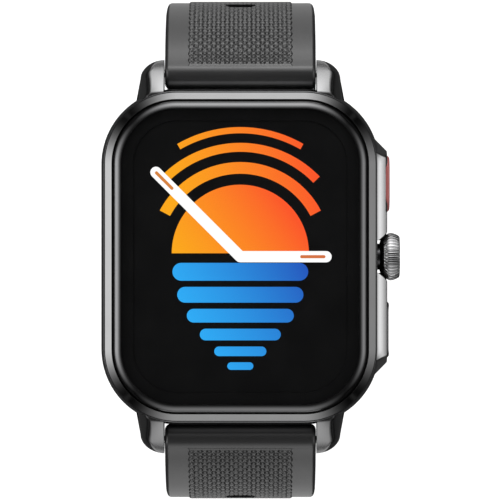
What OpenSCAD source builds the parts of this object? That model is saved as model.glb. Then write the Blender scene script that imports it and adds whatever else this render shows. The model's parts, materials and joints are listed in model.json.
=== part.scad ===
// Smartwatch: rectangular case with crown, two side buttons and a two-piece strap that stands open.
// Millimetres. The dial faces +Z, 12 o'clock is +Y, the crown is at +X.
// The origin lies under the case's centre, on the flat underside of the strap's tail, where the watch rests.

/* [Case] */
// Width of the case without its guard
case_width = 40.6; // [39.2:0.1:42]
// Height of the case from 6 to 12 o'clock
case_height = 49.0; // [47.7:0.1:51]
// Corner radius of the case, seen from the front
corner_r = 11.0; // [10.5:0.1:11.5]
// Height of the case frame, from its lower edge to the bezel's seat
frame_height = 7.0; // [6.6:0.1:7.6]
// Thickness of the case wall
wall = 2.6; // [2.4:0.1:2.8]
// Rounding of the case frame's upper and lower outer edges
edge_soft = 0.8; // [0.4:0.1:1]

/* [Bezel and glass] */
// Setback of the bezel ring from the case's side
bezel_inset = 0.56; // [0.4:0.02:0.64]
// Width of the bezel's polished chamfer, seen from the front
chamfer_width = 1.0; // [0.7:0.05:1.1]
// Height of the bezel's upright side
bezel_side = 0.5; // [0.3:0.05:0.8]
// Height that the chamfer climbs
chamfer_rise = 0.8; // [0.5:0.05:1.1]
// Thickness of the bezel's ledge under the glass
ledge = 0.4; // [0.3:0.05:0.6]
// Gap between the glass and the bezel
glass_gap = 0.3; // [0.2:0.02:0.4]
// Thickness of the adhesive under the glass
adhesive = 0.2; // [0.1:0.05:0.3]
// Thickness of the cover glass
glass_thickness = 1.3; // [1.1:0.1:1.6]
// Width of the glass's curved rim
glass_rim = 1.1; // [0.7:0.1:1.2]
// Drop of the glass's curved rim
glass_drop = 0.55; // [0.3:0.05:0.7]
// Thickness of the display panel
display_thickness = 1.4; // [1.0:0.1:1.5]
// Margin between the display panel and the cavity's wall
display_margin = 1.2; // [1:0.1:2]

/* [Lugs] */
// Width of each lug at its root
lug_width = 4.1; // [3.8:0.1:4.2]
// Width of each lug where its rounded tip begins
lug_tip_width = 3.52; // [3.4:0.02:3.6]
// Reach of the lug past the spring bar's axis
lug_reach = 2.04; // [1.9:0.02:2.08]
// Distance from the case's end to the spring bar's axis
bar_offset = 2.4; // [2.35:0.05:2.6]
// Height of the spring bar's axis above the frame's lower edge
bar_height = 2.7; // [2.5:0.1:2.9]
// Height of the lug's top where it leaves the case, below the bezel's seat
lug_drop = 0.8; // [0.6:0.1:1.2]

/* [Crown and guard] */
// Reach of the guard past the case's side
guard_reach = 1.27; // [1.2:0.01:1.32]
// Half length of the guard's outer face
guard_half = 15.45; // [15.2:0.05:15.7]
// Length of the slope at each end of the guard
guard_slope = 1.9; // [1.6:0.1:2.1]
// Height of the side axis (crown and buttons) above the frame's lower edge
side_axis = 3.8; // [3.7:0.1:3.9]
// Radius of the crown over its teeth
crown_r = 3.5; // [3.4:0.02:3.54]
// Length of the crown's knob
crown_length = 2.9; // [2.8:0.05:3]
// Number of grooves around the crown
crown_teeth = 36; // [30:1:40]
// Depth of the crown's grooves
tooth_depth = 0.16; // [0.1:0.01:0.2]
// Radius of the crown's neck
neck_r = 1.9; // [1.8:0.05:1.95]
// Radius of the crown's stem
stem_r = 1.0; // [0.9:0.05:1.1]
// Travel of the crown when it is pressed
crown_travel = 0.15; // [0.1:0.05:0.2]

/* [Side buttons] */
// Distance from the case's centre line to each button's centre
button_offset = 10.7; // [10.5:0.05:10.8]
// Length of each button
button_length = 8.2; // [8:0.1:8.4]
// Height of the upper button
upper_button_height = 4.2; // [4:0.1:4.3]
// Height of the lower button
lower_button_height = 2.4; // [2.2:0.1:2.6]
// Amount that a button stands out of the guard
button_proud = 0.3; // [0.2:0.02:0.4]
// Thickness of a button's cap
button_cap = 1.05; // [1:0.05:1.1]
// Radius of a button's stem
button_stem_r = 0.7; // [0.6:0.05:0.8]
// Travel of a button when it is pressed
button_travel = 0.25; // [0.15:0.05:0.3]

/* [Fits] */
// Radial clearance of a shaft that runs in a bore
running_gap = 0.05; // [0.03:0.01:0.08]
// Clearance around seated pieces of one body
seat_gap = 0.02; // [0.01:0.01:0.04]
// Clearance around pieces that slide or swing
moving_gap = 0.1; // [0.08:0.01:0.12]

/* [Back] */
// Thickness of the back cover
back_thickness = 1.0; // [0.9:0.05:1.2]
// Depth that the back cover stands below the frame
back_proud = 0.4; // [0.2:0.05:0.6]
// Width of the lip around the back cover
back_lip = 1.2; // [1:0.05:1.3]
// Thickness of the back gasket
gasket = 0.25; // [0.2:0.01:0.3]
// Radius of the sensor window
window_r = 7.0; // [6.5:0.1:7.5]
// Depth that the sensor window stands below the back cover
window_proud = 0.8; // [0.6:0.05:1]
// Radius of the back screws' shanks
screw_r = 0.6; // [0.5:0.05:0.7]
// Radius of the back screws' heads
screw_head_r = 1.2; // [1.1:0.05:1.3]
// Radius of the frame's screw bosses
boss_r = 1.9; // [1.8:0.05:2.0]
// Height of the frame's screw bosses
boss_height = 3.0; // [2.8:0.1:3.2]

/* [Inside] */
// Thickness of the inner chassis plate
chassis = 0.4; // [0.3:0.05:0.5]
// Length of the main board, from 12 o'clock towards the battery
board_length = 12.6; // [12:0.1:13]
// Thickness of the battery
battery_thickness = 3.8; // [3.5:0.05:3.9]
// Thickness of the foam pad over the battery
pad = 0.2; // [0.1:0.05:0.25]
// Thickness of the circuit boards
board = 0.8; // [0.6:0.05:0.9]
// Radius of the vibration motor
motor_r = 3.4; // [3:0.1:3.4]

/* [Strap] */
// Width of the strap at the case
strap_width = 22; // [21.8:0.05:22.1]
// Extra half width of the strap past the lugs
shoulder_width = 0.1; // [0.05:0.01:0.15]
// Gap between the strap and each lug
strap_play = 0.2; // [0.12:0.01:0.25]
// Width of the strap at its ends
strap_end_width = 20; // [19.5:0.1:21]
// Thickness of the strap
strap_thickness = 2.5; // [2.3:0.05:2.7]
// Radius of the strap's barrel around the spring bar
barrel_r = 2.1; // [2.05:0.01:2.15]
// Length over which the barrel thins down to the strap
barrel_taper = 7; // [6:0.5:9]
// Radius of the strap's loop around the buckle bar
loop_r = 1.7; // [1.6:0.05:1.9]
// Width of the raised centre panel
panel_width = 15.2; // [14.8:0.1:15.6]
// Height of the raised centre panel
panel_rise = 0.2; // [0.1:0.05:0.25]
// Slope of the upper half where it leaves the case, in degrees
upper_slope = 29; // [27:0.5:31]
// Bend radius of the upper half over the shoulder
upper_shoulder_r = 15; // [14.5:0.1:16]
// Slope of the lower half where it leaves the case, in degrees
lower_slope = 34; // [32:0.5:36]
// Bend radius of the lower half over the shoulder
lower_shoulder_r = 14.8; // [14:0.1:15.4]
// Length of the lower half's upright stretch
lower_upright = 42; // [40:0.5:44]
// Bend radius of the lower half at the table
tail_bend_r = 9; // [8.5:0.1:10]
// Length of the lower half's flat tail
tail_length = 29; // [27.5:0.5:30]
// Width of each adjustment hole, across the strap
hole_width = 4.4; // [4:0.1:4.6]
// Length of each adjustment hole, along the strap
hole_length = 2.2; // [2:0.1:2.4]
// Distance between adjustment holes
hole_pitch = 7; // [6.5:0.1:7.5]
// Distance from the bar to the first hole of the upper half
upper_first_hole = 14.6; // [13.5:0.1:16]
// Distance from the bar to the first hole of the lower half
lower_first_hole = 12.9; // [12:0.1:14]

/* [Spring bars] */
// Outer radius of the spring bars' tubes
tube_r = 0.9; // [0.85:0.01:0.95]
// Radius of the spring bars' pins
pin_r = 0.5; // [0.45:0.01:0.55]
// Depth that the pins enter the lugs
pin_depth = 1.1; // [1:0.05:1.2]
// Distance from the tube's end to the lug
tube_setback = 1.2; // [1.1:0.05:1.5]
// Distance of the release lever from the tube's middle
lever_x = 7.4; // [7:0.1:7.6]
// Radius of the release lever
lever_r = 0.4; // [0.35:0.01:0.45]

/* [Buckle and keepers] */
// Radius of the buckle bar
buckle_bar_r = 0.7; // [0.6:0.05:0.8]
// Gap between the buckle frame and the strap, on each side
buckle_play = 0.3; // [0.2:0.05:0.6]
// Width of the buckle frame's sides
buckle_side = 2.0; // [1.8:0.1:2.2]
// Thickness of the buckle frame
buckle_thickness = 2.2; // [2:0.1:2.4]
// Distance from the buckle bar to the frame's far bar
buckle_length = 11.5; // [11:0.1:12]
// Radius of the buckle frame's far bar
far_bar_r = 1.35; // [1.2:0.05:1.5]
// Width of the tongue
tongue_width = 2.4; // [2.2:0.1:2.8]
// Thickness of the tongue
tongue_thickness = 1.0; // [0.9:0.05:1.2]
// Length of each keeper, along the strap
keeper_length = 4.5; // [4:0.1:5]
// Wall of the keepers
keeper_wall = 1.0; // [0.9:0.05:1.2]
// Distance from the buckle bar to the fixed keeper's middle
fixed_keeper = 14; // [13.5:0.1:14.5]
// Distance between the middles of the two keepers
keeper_spacing = 10; // [9:0.1:10.5]

/* [Hidden] */
$fn = 48;

// Strap routes in the Y-Z plane: each stretch is [length, turn in degrees], outward from the spring bar.
function arc_length(r, turn) = r * abs(turn) * PI / 180;
upper_top_turn = 36;
upper_side_turn = 90 - upper_slope - upper_top_turn;
upper_side_r = 19;
upper_lean_turn = 25;
upper_lean_r = 40;
upper_root = 2.5;
upper_curves = [
    [upper_root, 0],
    [arc_length(upper_shoulder_r, upper_top_turn), -upper_top_turn],
    [arc_length(upper_side_r, upper_side_turn), -upper_side_turn],
    [arc_length(upper_lean_r, upper_lean_turn), -upper_lean_turn]
];
lower_root = 2;
lower_turn = 90 - lower_slope;
lower_route = [
    [lower_root, 0],
    [arc_length(lower_shoulder_r, lower_turn), -lower_turn],
    [lower_upright, 0],
    [arc_length(tail_bend_r, 90), -90],
    [tail_length, 0]
];

// A place on a route is [y, z, direction].
function advance(p, run, turn) = abs(turn) < 0.01
    ? [p[0] + run * cos(p[2]), p[1] + run * sin(p[2]), p[2]]
    : let (r = run / (turn * PI / 180))
        [p[0] + r * (sin(p[2] + turn) - sin(p[2])), p[1] - r * (cos(p[2] + turn) - cos(p[2])), p[2] + turn];
function place(route, p, s, i = 0) = i == len(route) - 1 || s <= route[i][0]
    ? advance(p, s, route[i][1] * s / route[i][0])
    : place(route, advance(p, route[i][0], route[i][1]), s - route[i][0], i + 1);
function total(route, i = 0) = i == len(route) ? 0 : route[i][0] + total(route, i + 1);
function start_of(route, n, i = 0) = i == n ? 0 : route[i][0] + start_of(route, n, i + 1);
facet_turn = 5;
straight_step = 3.5;
function pieces(stretch) = max(1, ceil(max(abs(stretch[1]) / facet_turn, stretch[0] / straight_step)));
function stations(route) = [
    for (n = [0:len(route) - 1], k = [0:pieces(route[n]) - 1])
        start_of(route, n) + route[n][0] * k / pieces(route[n]),
    total(route)
];

// Heights. The lower half stands on its tail, which sets the height of the spring bars,
// and the upper half's last stretch is as long as it takes to reach the table.
tail_half = strap_thickness / 2;
lower_end = place(lower_route, [0, 0, -lower_slope], total(lower_route));
bar_z = tail_half - lower_end[1];
bar_y = case_height / 2 + bar_offset;
frame_z = bar_z - bar_height;
seat_z = frame_z + frame_height;
side_z = frame_z + side_axis;
half_x = case_width / 2;
half_y = case_height / 2;
cavity_x = half_x - wall;
cavity_y = half_y - wall;
cavity_r = corner_r - wall;
glass_inset = bezel_inset + chamfer_width + glass_gap;
glass_bottom = seat_z + ledge + adhesive;
glass_top = glass_bottom + glass_thickness;
display_top = glass_bottom - seat_gap;
display_bottom = display_top - display_thickness;
chassis_top = display_bottom - 0.2;
chassis_bottom = chassis_top - chassis;
back_rebate = back_thickness - back_proud + gasket;
back_top = frame_z + back_rebate - gasket;
back_bottom = back_top - back_thickness;
guard_x = half_x + guard_reach;
upper_start = [bar_y, bar_z, -upper_slope];
upper_knee = place(upper_curves, upper_start, total(upper_curves));
upper_route = concat(upper_curves, [[(upper_knee[1] - loop_r) / -sin(upper_knee[2]), 0]]);
upper_length = total(upper_route);
lower_start = [bar_y, bar_z, -lower_slope];
lug_inner = strap_width / 2 + strap_play;
buckle_inner = strap_end_width + 2 * buckle_play;

// Rounded rectangle of the case, set in by some distance.
module case_outline(inset) {
    x = half_x - inset;
    y = half_y - inset;
    r = corner_r - inset;
    square([2 * (x - r), 2 * y], center = true);
    square([2 * x, 2 * (y - r)], center = true);
    for (sx = [-1, 1], sy = [-1, 1])
        translate([sx * (x - r), sy * (y - r)]) circle(r);
}
module case_slab(inset, z0, z1) {
    translate([0, 0, z0]) linear_extrude(z1 - z0) case_outline(inset);
}
// Carries a profile (distance from the corner's centre, height) around the case's outline.
module around_case() {
    cx = half_x - corner_r;
    cy = half_y - corner_r;
    for (q = [0:3]) {
        sx = q == 0 || q == 3 ? 1 : -1;
        sy = q < 2 ? 1 : -1;
        translate([sx * cx, sy * cy, 0]) rotate(90 * q) rotate_extrude(angle = 90) children();
    }
    for (side = [0, 180]) rotate(side) {
        translate([cx, -cy, 0]) rotate([90, 0, 180]) mirror([1, 0, 0]) linear_extrude(2 * cy) children();
        translate([cx, cy, 0]) rotate([90, 0, 90]) mirror([0, 0, 1]) linear_extrude(2 * cx) children();
    }
}
// Cylinder along X between two places.
module x_rod(r, x0, x1, y = 0, z = side_z) {
    translate([min(x0, x1), y, z]) rotate([0, 90, 0]) cylinder(r = r, h = abs(x1 - x0));
}
// Ring along X between two places.
module x_ring(r_in, r_out, x0, x1, y = 0) {
    difference() {
        x_rod(r_out, x0, x1, y);
        x_rod(r_in, x0 - 1, x1 + 1, y);
    }
}
// Pill shape across Y, cut along X.
module x_pill(length, height, x0, x1, y) {
    r = height / 2;
    translate([x0, y - length / 2 + r, side_z - r]) cube([x1 - x0, length - height, height]);
    for (side = [-1, 1]) x_rod(r, x0, x1, y + side * (length / 2 - r));
}
function arc_points(cx, cy, rx, ry, a0, a1, n) =
    [for (i = [0:n]) let (a = a0 + (a1 - a0) * i / n) [cx + rx * cos(a), cy + ry * sin(a)]];

// Case frame with lugs and guard
boss_inset = 6.0;
boss_x = half_x - boss_inset;
boss_y = half_y - boss_inset;
module at_bosses() {
    for (sx = [-1, 1], sy = [-1, 1]) translate([sx * boss_x, sy * boss_y, 0]) children();
}
module frame_profile() {
    r = corner_r;
    z0 = frame_z;
    z1 = seat_z;
    polygon(concat(
        [[r - wall, z0 + back_rebate], [r - back_lip, z0 + back_rebate], [r - back_lip, z0]],
        arc_points(r - edge_soft, z0 + edge_soft, edge_soft, edge_soft, -90, 0, 4),
        arc_points(r - bezel_inset, z1 - edge_soft, bezel_inset, edge_soft, 0, 90, 4),
        [[r - wall, z1]]));
}
// The lug's lying outline, with its tip's outer corner rounded.
module lug_plan() {
    tip = bar_y + lug_reach;
    tip_length = 2.8;
    polygon(concat(
        [[lug_inner, cavity_y + 0.1], [lug_inner + lug_width + 0.4, cavity_y + 0.1],
         [lug_inner + lug_width, half_y - 1.6]],
        arc_points(lug_inner, tip - tip_length, lug_tip_width, tip_length, 0, 90, 8)));
}
// The lug's side view, round about the spring bar's axis.
module lug_side() {
    top = seat_z - lug_drop;
    polygon(concat(
        [[cavity_y + 0.1, frame_z + 0.5], [cavity_y + 0.1, top], [half_y + 0.2, top - 0.2]],
        arc_points(bar_y, bar_z, lug_reach, lug_reach, 75, -90, 9)));
}
// The lug seen from 12 o'clock: its outer flank leans.
module lug_front() {
    top = seat_z - lug_drop;
    x0 = lug_inner;
    flank = 1.3;
    polygon([[x0, frame_z], [x0 + lug_width + 0.4, frame_z], [x0 + lug_width + 0.4, bar_z + 0.6],
        [x0 + lug_width - flank, top + 0.1], [x0, top + 0.1]]);
}
module lug() {
    intersection() {
        translate([0, 0, frame_z]) linear_extrude(frame_height) lug_plan();
        translate([lug_inner, 0, 0]) rotate([90, 0, 90]) linear_extrude(lug_width + 0.4) lug_side();
        translate([0, bar_y + lug_reach, 0]) rotate([90, 0, 0])
            linear_extrude(lug_reach + bar_offset + wall) lug_front();
    }
}
// The guard's lying outline: a straight face with a slope at each end.
module guard_plan() {
    root = half_x - 1;
    end = guard_half + guard_slope;
    foot = half_x - 0.6;
    polygon([[root, -end], [foot, -end], [guard_x - 0.1, -guard_half - 0.2], [guard_x, -guard_half],
        [guard_x, guard_half], [guard_x - 0.1, guard_half + 0.2], [foot, end], [root, end]]);
}
// Top of the guard at a place across it: domed near the bezel, then a straight slope.
guard_dome_r = 2.5;
guard_dome_start = 12;
guard_dome_end = 39;
guard_top = seat_z - 0.12;
guard_edge = 0.25;
module guard_side() {
    x0 = half_x - 0.45;
    dome = [for (a = [guard_dome_start:4.5:guard_dome_end]) [
        x0 + guard_dome_r * (sin(a) - sin(guard_dome_start)),
        guard_top - guard_dome_r * (cos(guard_dome_start) - cos(a))]];
    dome_end = dome[len(dome) - 1];
    run = guard_x - guard_edge / 2 - dome_end[0];
    edge_z = dome_end[1] - run * tan(guard_dome_end);
    low_z = 2 * side_z - edge_z;
    polygon(concat(
        [[half_x - 1, guard_top]], dome,
        [[guard_x - guard_edge / 2, edge_z], [guard_x, edge_z - guard_edge],
         [guard_x, low_z + guard_edge], [guard_x - guard_edge, low_z], [half_x - 1, low_z - 0.4]]));
}
// The guard seen from the side: its ends lean in towards the dial.
module guard_face() {
    end = guard_half + guard_slope;
    lean = guard_half - 0.55;
    polygon([[-end, frame_z], [end, frame_z], [end, side_z], [lean, seat_z], [-lean, seat_z],
        [-end, side_z]]);
}
module guard() {
    length = 2 * (guard_half + guard_slope);
    intersection() {
        translate([0, 0, frame_z]) linear_extrude(frame_height) guard_plan();
        translate([0, length / 2, 0]) rotate([90, 0, 0]) linear_extrude(length) guard_side();
        translate([half_x - 2, 0, 0]) rotate([90, 0, 90]) linear_extrude(guard_reach + 4) guard_face();
    }
}
// Crown profile: shares of its length and of its radius, from its inner end.
notch_x = half_x - 0.28;
crown_x0 = half_x + 0.15;
crown_x1 = crown_x0 + crown_length;
crown_curve = [[0, 0.63], [0.05, 0.69], [0.1, 0.735], [0.19, 0.795], [0.29, 0.845], [0.4, 0.88],
    [0.45, 0.955], [0.52, 0.985], [0.62, 1], [0.75, 0.985], [0.87, 0.935], [0.96, 0.885], [1, 0.84]];
function crown_profile(grow, shift) =
    [for (p = crown_curve) [crown_x0 + p[0] * crown_length - shift, p[1] * crown_r + grow]];
module around_x() {
    translate([0, 0, side_z]) rotate([0, 90, 0]) rotate_extrude() children();
}
// Half width of the opening beside the crown's neck
crown_slot = 2.4;
module crown_notch() {
    outer = crown_profile(moving_gap, crown_travel + moving_gap);
    notch = concat([[0, notch_x], [outer[0][1], notch_x]],
        [for (p = outer) [p[1], max(p[0], notch_x + 0.01)]], [[0, outer[len(outer) - 1][0]]]);
    around_x() polygon(notch);
    translate([0, 0, side_z]) linear_extrude(frame_height) for (side = [-1, 1])
        polygon([for (p = notch) [p[1], side * p[0]]]);
    translate([notch_x, -crown_slot, frame_z - 1])
        cube([guard_x + 1 - notch_x, 2 * crown_slot, frame_height + 2]);
}
// Wall bores: a running bore inside and a wider gland outside for the seal ring.
seal_width = 0.4;
button_seal_r = button_stem_r + seal_width;
button_gland_r = button_seal_r + running_gap;
gland_x0 = cavity_x + 0.5;
pocket_x = guard_x - button_cap - button_travel;
module button_bores(y, height) {
    x_rod(button_stem_r + running_gap, cavity_x - 1, half_x, y);
    x_rod(button_gland_r, gland_x0, half_x + 1, y);
    x_pill(button_length + 2 * moving_gap, height + 2 * moving_gap, pocket_x, guard_x + 1, y);
}
tube_wall_r = neck_r - 0.1;
neck_pocket_x = half_x - 0.9;
speaker_y = -1;
slot_pitch = 2.6;
module speaker_slots() {
    for (k = [-1.5:1:1.5])
        translate([-half_x - 1, speaker_y + k * slot_pitch - 0.8, side_z - 0.3]) cube([wall + 1.5, 1.6, 0.6]);
}
module case_frame() {
    color("dimgray") difference() {
        union() {
            around_case() frame_profile();
            for (sx = [0, 1], sy = [0, 1]) mirror([sx, 0, 0]) mirror([0, sy, 0]) lug();
            guard();
            intersection() {
                at_bosses() translate([0, 0, frame_z + back_rebate]) cylinder(r = boss_r, h = boss_height);
                case_slab(wall / 2, frame_z, seat_z);
            }
        }
        case_slab(back_lip, frame_z - 1, frame_z + back_rebate);
        at_bosses() translate([0, 0, frame_z]) cylinder(r = screw_r, h = back_rebate + boss_height - 0.5);
        for (sx = [-1, 1], sy = [-1, 1])
            x_rod(pin_r + running_gap, sx * (lug_inner - 1), sx * (lug_inner + pin_depth + 0.3),
                sy * bar_y, bar_z);
        crown_notch();
        x_rod(neck_r + moving_gap, neck_pocket_x, half_x + 1);
        x_rod(tube_wall_r + seat_gap, cavity_x - 1, half_x);
        button_bores(button_offset, upper_button_height);
        button_bores(-button_offset, lower_button_height);
        speaker_slots();
    }
}

// Bezel, glass and display
glass_seat = corner_r - glass_inset;
module bezel_ring() {
    r1 = corner_r - bezel_inset;
    r0 = r1 - chamfer_width;
    top = seat_z + bezel_side + chamfer_rise;
    inner = r0 - 0.15;
    color("silver") around_case() polygon([
        [cavity_r + 0.05, seat_z], [r1, seat_z], [r1, seat_z + bezel_side], [r0, top],
        [inner, top], [inner, seat_z + ledge], [cavity_r + 0.05, seat_z + ledge]]);
}
module glass_adhesive() {
    color("black") around_case() translate([cavity_r + 0.15, seat_z + ledge])
        square([glass_seat - cavity_r - 0.2, adhesive]);
}
module cover_glass() {
    rim = arc_points(glass_seat - glass_rim, glass_top - glass_drop, glass_rim, glass_drop, 0, 90, 5);
    core = glass_seat - glass_rim - 0.5;
    color("black") union() {
        around_case() polygon(
            concat([[core, glass_bottom], [glass_seat, glass_bottom]], rim, [[core, glass_top]]));
        case_slab(corner_r - core, glass_bottom, glass_top);
    }
}
module display_panel() {
    color([0.1, 0.1, 0.12]) case_slab(wall + display_margin, display_bottom, display_top);
}
board_z = chassis_bottom - 0.9 - board;
flex_x = cavity_x - 4.2;
board_x = flex_x - 1.4;
flex = 0.15;
flex_y = cavity_y - display_margin - 0.2;
module display_flex() {
    color("orange") translate([-4, 0, 0]) {
        translate([0, flex_y - 2.6, board_z + board]) cube([8, 2.6, flex]);
        translate([0, flex_y - flex, board_z + board]) cube([8, flex, display_bottom - board_z - board]);
    }
}

// Inner chassis and electronics
module inner_chassis() {
    color("gray") difference() {
        case_slab(wall + 0.1, chassis_bottom, chassis_top);
        translate([-5, flex_y - 3, chassis_bottom - 1]) cube([10, 5, chassis + 2]);
        for (side = [-1, 1]) translate([side * 9, 12, chassis_bottom - 1]) cylinder(r = 3, h = chassis + 2);
        x_rod(tube_wall_r + moving_gap, tube_x0 - 0.6, half_x);
    }
}
board_y1 = flex_y - 0.4;
board_y0 = board_y1 - board_length;
module main_board() {
    color("darkgreen") translate([-board_x, board_y0, board_z])
        cube([2 * board_x, board_y1 - board_y0, board]);
}
module board_chips() {
    color([0.15, 0.15, 0.15]) {
        for (x = [-10.6, -6.4]) translate([x, board_y0 + 1, board_z - 1]) cube([3.4, 3.4, 1]);
        translate([-10.6, board_y0 + 6, board_z - 0.8]) cube([5, 3, 0.8]);
        translate([4, board_y0 + 3.4, board_z + board]) cube([6, 2, 0.8]);
    }
}
module shield_can() {
    color("silver") translate([-2, board_y0 + 0.8, board_z - 2]) difference() {
        cube([13, 9.4, 2]);
        translate([0.2, 0.2, 0.2]) cube([12.6, 9, 2]);
    }
}
speaker_depth = 5;
speaker_length = 11.5;
battery_x0 = speaker_depth - cavity_x + 1.8;
battery_x1 = flex_x - 1.4 - 2 * motor_r;
battery_width = battery_x1 - battery_x0;
battery_y0 = 1.8 - cavity_y;
battery_length = board_y0 - 0.6 - battery_y0;
battery_z = chassis_bottom - pad - battery_thickness;
module battery() {
    color("lightgray") translate([battery_x0, battery_y0, battery_z])
        cube([battery_width, battery_length, battery_thickness]);
}
module battery_pad() {
    color("white") translate([battery_x0 + 1, battery_y0 + 1, chassis_bottom - pad])
        cube([battery_width - 2, battery_length - 2, pad]);
}
module vibration_motor() {
    height = 2.7;
    x = battery_x1 + 0.4 + motor_r;
    color("silver") translate([x, battery_y0 + 5.8, chassis_bottom - height])
        cylinder(r = motor_r, h = height);
}
module speaker() {
    color("dimgray") difference() {
        translate([-cavity_x + 0.6, speaker_y - speaker_length / 2, chassis_bottom - 3.6])
            cube([speaker_depth, speaker_length, 3.6]);
        translate([-cavity_x, speaker_y - speaker_length / 2 + 1, side_z - 0.5])
            cube([2, speaker_length - 2, 1]);
    }
}
module speaker_mesh() {
    color("black") translate([-cavity_x + 0.1, speaker_y - speaker_length / 2 + 0.4, side_z - 0.9])
        cube([0.4, speaker_length - 0.8, 1.8]);
}
module microphone() {
    color("gold") translate([-board_x + 0.2, board_y1 - 3, board_z - 1]) cube([3, 2, 1]);
}

// Back cover, sensor and charging contacts
window_ring = 2.2;
module back_cover() {
    edge = back_lip + seat_gap;
    color([0.12, 0.12, 0.13]) difference() {
        union() {
            case_slab(edge, back_bottom + 0.4, back_top);
            case_slab(edge + 0.5, back_bottom, back_top - 0.3);
            translate([0, 0, back_bottom - window_proud + 0.35])
                cylinder(r1 = window_r + 0.8, r2 = window_r + window_ring, h = window_proud);
        }
        translate([0, 0, back_bottom - window_proud]) cylinder(r = window_r + seat_gap, h = 4);
        at_bosses() {
            translate([0, 0, back_bottom - 1]) cylinder(r = screw_r + moving_gap, h = 3);
            translate([0, 0, back_bottom - 1])
                cylinder(r = screw_head_r + moving_gap, h = 1 + back_thickness / 2);
        }
        for (side = [-1, 1]) translate([side * contact_x, contact_y, back_bottom - 1])
            cylinder(r = contact_r + seat_gap, h = 3);
    }
}
module back_gasket() {
    color("dimgray") around_case() translate([corner_r - wall + 0.2, back_top])
        square([wall - back_lip - 0.4, gasket]);
}
module back_screws() {
    color("silver") at_bosses() difference() {
        union() {
            translate([0, 0, back_bottom + 0.1]) cylinder(r = screw_head_r, h = back_thickness / 2 - 0.1);
            translate([0, 0, back_bottom + 0.1]) cylinder(r = screw_r - seat_gap, h = 3);
        }
        translate([0, 0, back_bottom]) cylinder(r = 0.5, h = 0.4, $fn = 6);
    }
}
module sensor_window() {
    color([0.05, 0.05, 0.06]) translate([0, 0, back_bottom - window_proud]) union() {
        cylinder(r1 = window_r - 0.6, r2 = window_r, h = 0.5);
        translate([0, 0, 0.5]) cylinder(r = window_r, h = 0.7);
    }
}
sensor_z = back_top;
module sensor_board() {
    color("darkgreen") translate([0, 0, sensor_z]) cylinder(r = window_r + 0.8, h = 0.5);
}
led_height = sensor_z - (back_bottom - window_proud + 1.2) - seat_gap;
module sensor_leds() {
    color("lime") for (a = [0:90:270]) rotate(a)
        translate([2.6, -0.7, sensor_z - led_height]) cube([1.4, 1.4, led_height]);
    color([0.1, 0.1, 0.2]) translate([-1.3, -1.3, sensor_z - led_height])
        cube([2.6, 2.6, led_height]);
}
contact_r = 1.1;
contact_x = 1.6;
contact_y = -14;
module charge_contacts() {
    color("gold") for (side = [-1, 1]) translate([side * contact_x, contact_y, back_bottom - 0.05]) {
        cylinder(r = contact_r, h = back_thickness + 0.2);
    }
}
module charge_magnets() {
    color("silver") for (side = [-1, 1]) translate([side * 7, contact_y, back_top])
        cylinder(r = 1.8, h = 0.8);
}

// Side controls: bracket, flex, switches
switch_depth = 2.0;
switch_x = flex_x + 0.2 + switch_depth;
bracket_half = button_offset + 3;
module side_bracket() {
    color("silver") translate([flex_x - 0.4, -bracket_half, side_z - 1.6])
        cube([0.4, 2 * bracket_half, chassis_bottom - side_z + 1.6]);
}
module side_flex() {
    color("orange") translate([flex_x, -bracket_half, side_z - 1.4]) cube([0.2, 2 * bracket_half, 2.8]);
}
module button_switches() {
    color("silver") for (side = [-1, 1]) {
        translate([flex_x + 0.2, side * button_offset - 1.8, side_z - 1.4])
            cube([switch_depth - 0.3, 3.6, 2.8]);
        x_rod(0.8, switch_x - 0.3, switch_x, side * button_offset);
    }
}
crown_switch_x = switch_x - 0.2;
socket_depth = 1.1;
plunger_nose_r = 0.7;
module crown_switch() {
    color("silver") difference() {
        translate([flex_x + 0.2, -2.2, side_z - 1.4]) cube([crown_switch_x - flex_x - 0.2, 4.4, 2.8]);
        x_rod(plunger_nose_r + running_gap, crown_switch_x - socket_depth, crown_switch_x + 1);
    }
}

// Crown
plunger_x1 = switch_x + 0.65;
module crown_plunger() {
    rim = crown_switch_x + crown_travel + moving_gap;
    color("white") {
        x_rod(plunger_nose_r, rim - crown_travel - 0.7, rim + 0.1);
        x_rod(1.1, rim, plunger_x1);
    }
}
tube_x0 = cavity_x - 0.7;
tube_x1 = neck_pocket_x;
tube_gland_r = stem_r + seal_width + running_gap;
module crown_tube() {
    color("silver") difference() {
        x_rod(tube_wall_r, tube_x0, tube_x1);
        x_rod(stem_r + running_gap, tube_x0 - 1, tube_x1 + 1);
        x_rod(tube_gland_r, tube_x0 + 0.8, tube_x1 + 1);
    }
}
stem_x1 = crown_x0 + crown_length * 0.6;
module crown_stem() {
    color("silver") x_rod(stem_r, plunger_x1, stem_x1);
}
module crown_seals() {
    first = tube_x0 + 0.8 + crown_travel + moving_gap;
    color("black") for (k = [0, 1])
        x_ring(stem_r, stem_r + seal_width, first + 0.6 * k, first + 0.6 * k + 0.4);
}
module crown_clip() {
    color("silver") x_ring(stem_r, stem_r + 0.6, tube_x0 - 0.4, tube_x0 - 0.1);
}
groove_r = 0.2;
module crown_knob() {
    color([0.2, 0.2, 0.22]) difference() {
        union() {
            around_x() polygon(concat(
                [[0, crown_x0]], [for (p = crown_profile(0, 0)) [p[1], p[0]]], [[0, crown_x1]]));
            x_rod(neck_r, half_x - 0.25 - crown_travel, crown_x0 + 0.5);
        }
        x_rod(stem_r, half_x - 2, stem_x1);
        translate([0, 0, side_z]) for (k = [0:crown_teeth - 1]) rotate([360 * k / crown_teeth, 0, 0])
            translate([crown_x0 - 1, 0, crown_r + groove_r - tooth_depth]) rotate([0, 90, 0])
                cylinder(r = groove_r, h = crown_length + 2);
    }
}

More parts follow.
